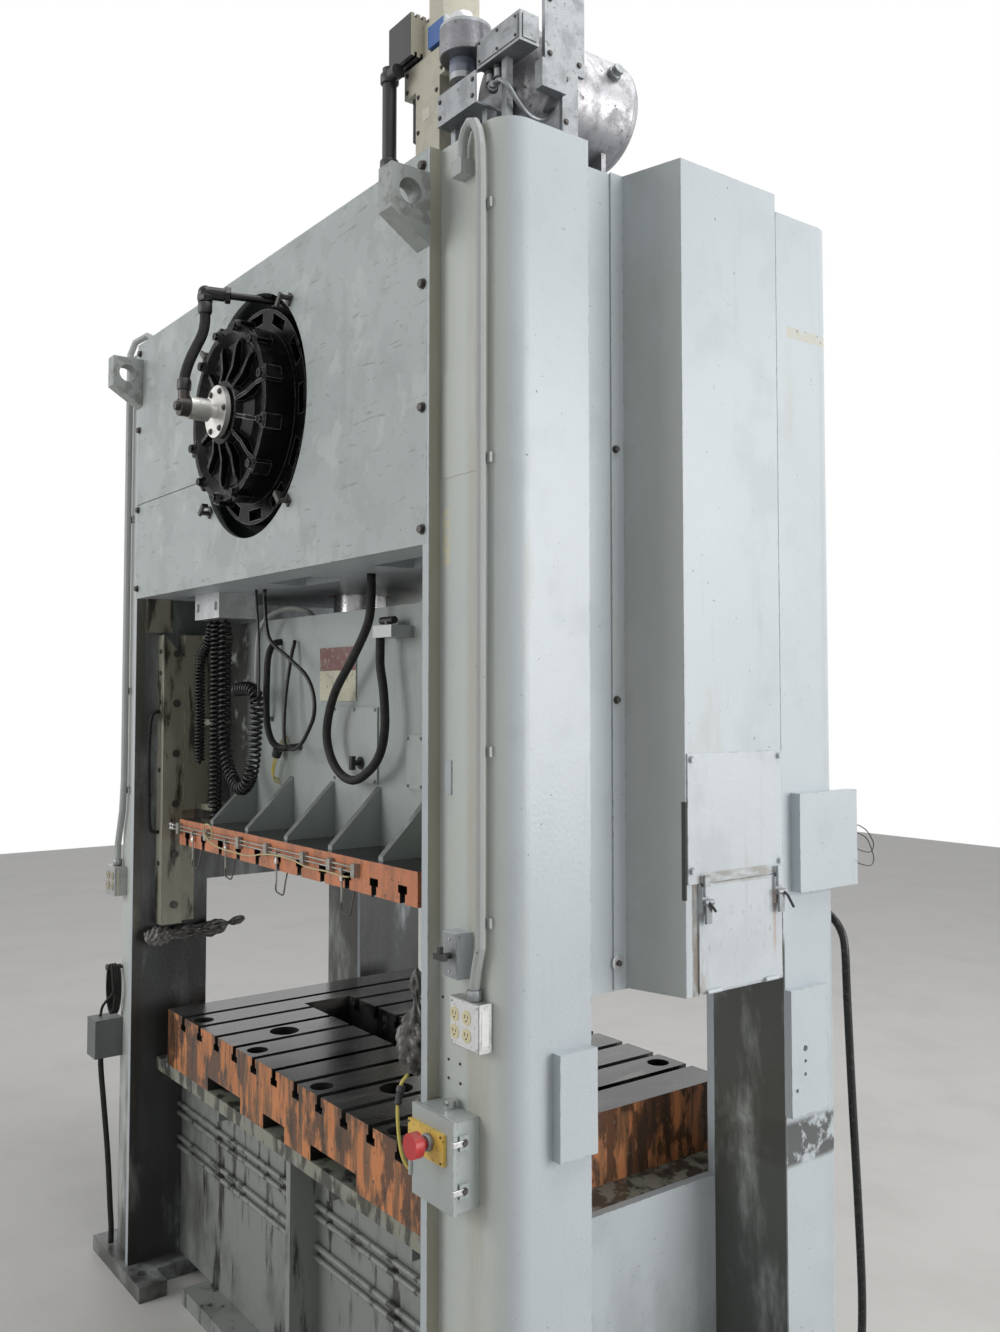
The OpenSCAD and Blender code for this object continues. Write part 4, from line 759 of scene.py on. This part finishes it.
# -------------------------------- boxes and conduits on the columns
COUPLING = [(0, 0.0135), (0.001, 0.018), (0.004, 0.0195), (0.022, 0.0195), (0.025, 0.018), (0.027, 0.0135)]
for name, x, z in (("conduit_nut_right", 1.228, 1.5283), ("conduit_nut_left", -1.262, 1.5553)):
    lathe(name, COUPLING, (x, -0.642, z), UP, dull_zinc, sides=8)
blocks("column_sheet", [((1064, -623.8, 2790), (1238, -622, 3060))], column, edge=0.0008)
blocks("outlet_plate", [((1153, -658.6, 1418), (1267, -657, 1525))], plate_steel, edge=0.0008)
outlets = [(x, -660.7, z) for x in (1172, 1221) for z in (1448, 1489)]
outlets += [(x, -675.7, z) for x in (-1285, -1236) for z in (1477, 1518)]
# The receptacle slots are black blocks on their faces: painted shade for the holes.
SLOT_SIDES = ((-7, -5.2, -1, 7), (5.2, 7, -1, 7), (-2.2, 2.2, -9, -5))
slots = [((x + left, y, z + low), (x + end, y + 1, z + high)) for x, y, z in outlets
         for left, end, low, high in SLOT_SIDES]
blocks("outlet_slots", slots, satin_black, edge=0.0002)
blocks("outlet_box_strip", [((1270, -650, 1432), (1270.7, -631, 1510))], white, edge=0.0002)
places = [(1159, -658.6, 1424), (1261, -658.6, 1424), (1159, -658.6, 1519), (1261, -658.6, 1519),
          (1163, -668.4, 1589), (1163, -668.4, 1664)]
bolt_heads("plate_screws", places, FRONT, 3.2, zinc, washer=False)
places = [(x, -710, z) for x in (1054, 1190) for z in (1156, 1216)]
bolt_heads("button_plate_screws", places, FRONT, 3.2, dark_steel, body="control_door", washer=False)
blocks("disconnect_plate", [((1134, -668.4, 1574), (1192, -667, 1678))], dull_zinc, edge=0.0008)
lathe("button_collar", [(0, 0.0135), (0.001, 0.021), (0.010, 0.021), (0.013, 0.018), (0.014, 0.0135)],
      (1.14, -0.710, 1.192), FRONT, dull_zinc, body="control_door")
bolt_heads("door_clamp_screws", [(1231, -671, 1097), (1231, -671, 1207)], RIGHT, 7, dark_steel)
blocks("door_clamps", [((1226, -704, z), (1233, -672, z + 14)) for z in (1090, 1200)], zinc, edge=0.0015)
lathe("strip_washer", [(0, 0.009), (0.0005, 0.019), (0.003, 0.019), (0.0035, 0.010)],
      (1.30, -0.252, 1.576), RIGHT, zinc)

# -------------------------------- hung and loose cables
lathe("cable_hook", [(0, 0.002), (0.001, 0.008), (0.050, 0.008), (0.054, 0.013), (0.060, 0.013), (0.062, 0.003)],
      (-1.262, -0.622, 1.150), FRONT, dark_steel)
# The hung cable: turns of an oval, 84 by 192 mm, that step forward; points 1 to 55 make some three of them.
u = np.linspace(0, 1, 60)
angle = math.pi / 2 - 2 * math.pi * 3.5 * u
wound = np.stack([-1262 + 42 * np.cos(angle), -636 - 34 * u, 1062 + 96 * np.sin(angle)], 1)
route = [(-1300, -690, 950), (-1300, -680, 990), *wound[55:0:-1], (-1250, -634, 1148), (-1240, -622.5, 1150)]
hang("hung_cable", route, 5.5, rubber, step=0.006)
route = [(-1290, -690, 799.5), (-1289, -688, 740), (-1284, -676, 600), (-1276, -660, 400), (-1268, -650, 200),
         (-1264, -646, 120), (-1264, -646, 57.5)]
hang("left_drop_cable", route, 11, rubber)
for k, (a, b) in enumerate(((1862, 1780), (1838, 1740))):
    route = [(1344, 657, a), (1346, 676, a - 2), (1348, 712, a - 22), (1350, 738, b + 24), (1350, 726, b),
             (1346, 690, b + 4), (1344, 657, b + 16)]
    hang("box_wire_%d" % k, route, 1.6, satin_black, step=0.004)
route = [(982, -668, 1300), (984, -690, 1280), (990, -704, 1230), (1004, -708, 1160), (1020, -704, 1110),
         (1040, -690, 1085), (1059.5, -676, 1080)]
hang("sensor_cable", route, 4.5, yellow_wire, step=0.006)
lathe("sensor_plug", [(0, 0.005), (0.002, 0.010), (0.014, 0.011), (0.018, 0.009), (0.044, 0.009), (0.047, 0.005)],
      (0.984, -0.690, 1.278), (0.12, -0.28, -0.95), satin_black)


# -------------------------------- tied film bags
def crumpled(name, route, radii, coat, seed):
    """Bag of film: a tube whose radius is radii(u) times 1 + BAG_DEPTH * a sum of six waves in u and v."""
    path = smooth_route(route, 0.004)
    n, b = frames_along(path)[1:]
    u = np.linspace(0, 1, BAG_RINGS)
    centre, n, b = (read_at(u * (len(path) - 1), np.arange(len(path)), rows) for rows in (path, n, b))
    v = np.linspace(0, 2 * math.pi, BAG_SIDES, endpoint=False)
    rng = np.random.default_rng(seed)
    wave = np.zeros((BAG_RINGS, BAG_SIDES))
    for k in range(6):
        p, q, s = rng.integers(2, 9), rng.uniform(6, 34), rng.uniform(0, 6.28)
        wave += np.abs(np.sin(0.5 * (p * v[None] + q * u[:, None] * (-1) ** k + s))) / (1 + 0.4 * k)
    wave = (wave - wave.mean()) / wave.std()
    r = np.interp(u, np.linspace(0, 1, len(radii)), radii)[:, None] * MM * (1 + BAG_DEPTH * wave)
    ring = np.cos(v)[None, :, None] * n[:, None] + np.sin(v)[None, :, None] * b[:, None]
    points = (centre[:, None] + r[..., None] * ring).reshape(-1, 3)
    piece = put(name, points, closed_faces(BAG_RINGS, BAG_SIDES), "frame", coat)
    finer = piece.modifiers.new("finer", "SUBSURF")
    finer.levels = finer.render_levels = 1
    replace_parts(piece, "wrapped_fittings")


f = Finish("grey_film", (0.20, 0.195, 0.18), 0.32)
f.layer(f.noise(0.03, 0.45, 0.6), (0.09, 0.085, 0.075), 0.45, amount=0.8)
f.relief(f.noise(0.015, None, detail=4), 0.003)
grey_film = f.done()
route = [(977, -640, 1290), (977, -640, 1380), (978, -640, 1470), (976, -640, 1558)]
crumpled("film_bag_right", route, [6, 30, 40, 43, 44, 43, 30, 10, 7, 18, 16, 4], wrap, seed=5)
route = [(-972, -628, 1298), (-984, -590, 1306), (-990, -540, 1306), (-992, -500, 1306)]
crumpled("film_bag_front", route, [4, 26, 33, 32, 30, 27, 20, 12], grey_film, seed=8)
route = [(-992, -520, 1306), (-992, -430, 1306), (-988, -366, 1310), (-984, -300, 1322), (-980, -214, 1338)]
crumpled("film_bag_window", route, [18, 26, 27, 26, 24, 22, 24, 29, 30, 22, 5, 16, 18, 6], wrap, seed=3)

# -------------------------------- equipment on top of the crown
smoked_metal = metal_skin("smoked_metal", (0.25, 0.25, 0.27), 0.3, 0.5).done()
clear_bowl = enamel("bowl_plastic", (0.20, 0.23, 0.30), 0.12, 0.3, 0.1).done()
route = [(1170.5, -545, 3775), (1196, -556, 3779), (1222, -560, 3773), (1238, -548, 3755), (1241, -520, 3723),
         (1240, -484, 3700), (1238, -446, 3700), (1234, -412, 3722), (1230, -388, 3754)]
hang("valve_conduit", route, 6.5, dull_zinc, step=0.006)
lathe("conduit_gland", [(0, 0.006), (0.001, 0.014), (0.016, 0.014), (0.018, 0.010), (0.026, 0.010)],
      (1.170, -0.545, 3.775), (0.8, -0.6, 0.1), dull_zinc, sides=8)
CAP = [(0, 0.0125), (0.001, 0.0145), (0.010, 0.0145), (0.012, 0.0125)]
FOOT = [(0, 0.0125), (0.001, 0.0135), (0.004, 0.0135), (0.008, 0.006), (0.018, 0.005)]
for k, x in enumerate((1.140, 1.174)):
    lathe("solenoid_cap_%d" % k, CAP, (x, -0.530, 3.842), DOWN, satin_black, sides=24)
    lathe("solenoid_foot_%d" % k, FOOT, (x, -0.530, 3.8125), DOWN, dull_zinc, sides=24)
DOME = [(0, 0.066), (0.002, 0.0688), (0.074, 0.0688), (0.082, 0.060), (0.090, 0.040), (0.092, 0.003)]
lathe("regulator_dome", DOME, (1.050, -0.545, 3.903), UP, smoked_metal, sides=40)
lathe("regulator_head", [(0, 0.030), (0.002, 0.034), (0.016, 0.035), (0.028, 0.031), (0.036, 0.020), (0.039, 0.003)],
      (1.050, -0.556, 3.990), UP, bright, sides=32)
lathe("regulator_bowl", [(0, 0.012), (0.004, 0.026), (0.012, 0.034), (0.022, 0.0358), (0.056, 0.0358)],
      (1.037, -0.545, 3.848), UP, clear_bowl, sides=32)
COLLAR = [(0, 0.0205), (0.001, 0.0245), (0.004, 0.0260), (0.026, 0.0260), (0.029, 0.0245), (0.030, 0.0205)]
for k, z in enumerate((3.700, 3.945)):
    lathe("pipe_collar_%d" % k, COLLAR, (0.760, -0.600, z), UP, satin_black, sides=24)
lathe("pipe_nut", [(0, 0.0205), (0.001, 0.0245), (0.003, 0.0265), (0.019, 0.0265), (0.022, 0.0205)],
      (0.760, -0.600, 3.6405), UP, bronze, sides=6)
places = [(846, -560, 3668), (936, -560, 3668), (846, -560, 3786), (936, -560, 3870), (846, -560, 3886),
          (790, -560, 3922), (960, -560, 3922), (790, -560, 3970)]
bolt_heads("housing_bolts", places, FRONT, 5, dark_steel)
blocks("housing_tag", [((868, -561.2, 3808), (904, -560, 3840))], cream, edge=0.0004)
blocks("valve_cover", [((1128, -563, 3850), (1294, -560, 3911)), ((1300, -552, 3850), (1303, -508, 3911))],
       dull_zinc, edge=0.0012)
places = [(x, -563, z) for x in (1136, 1211, 1286) for z in (3857, 3904)]
bolt_heads("valve_cover_screws", places, FRONT, 4, dark_steel, washer=False)
bolt_heads("tray_bolts", [(x, -600, z) for x in (1012, 1158) for z in (3748, 3790)], FRONT, 5, dark_steel)
places = [(1284, y, z) for y, z in ((-452, 3850), (-356, 3850), (-452, 3990), (-400, 3690), (-400, 3800))]
bolt_heads("bracket_bolts", places, RIGHT, 6, dark_steel)
SEAM = [(-0.004, 0.1515), (-0.002, 0.1528), (0.0, 0.1533), (0.002, 0.1528), (0.004, 0.1515)]
for k, y in enumerate((-0.428, -0.142)):
    lathe("tank_seam_%d" % k, SEAM, (1.112, y, 3.835), (0, 1, 0), silver, sides=72)
lathe("tank_port", [(0, 0.020), (0.018, 0.020), (0.020, 0.016), (0.034, 0.016), (0.036, 0.004)],
      (1.252, -0.216, 3.880), (0.95, 0, 0.3), dull_zinc, sides=8)

# -------------------------------- access covers and latches
for name, route in (("near", [(1490.5, -124, 1739), (1494, -119, 1733), (1495, -105, 1716)]),
                    ("far", [(1490.5, 156, 1738), (1495, 165, 1729), (1496, 176, 1713), (1495, 189, 1696)])):
    lever = smooth_route(route, 0.003)
    tube("latch_lever_" + name, lever, 0.0038, "draw_latch_" + name, satin_black, sides=10)
places = [(1069, -622, 1502), (1095, -622, 1357), (1143, -622, 1357), (1095, -622, 1312), (1145, -622, 1311)]
bolt_heads("column_screws", places, FRONT, 3.5, satin_black, washer=False)
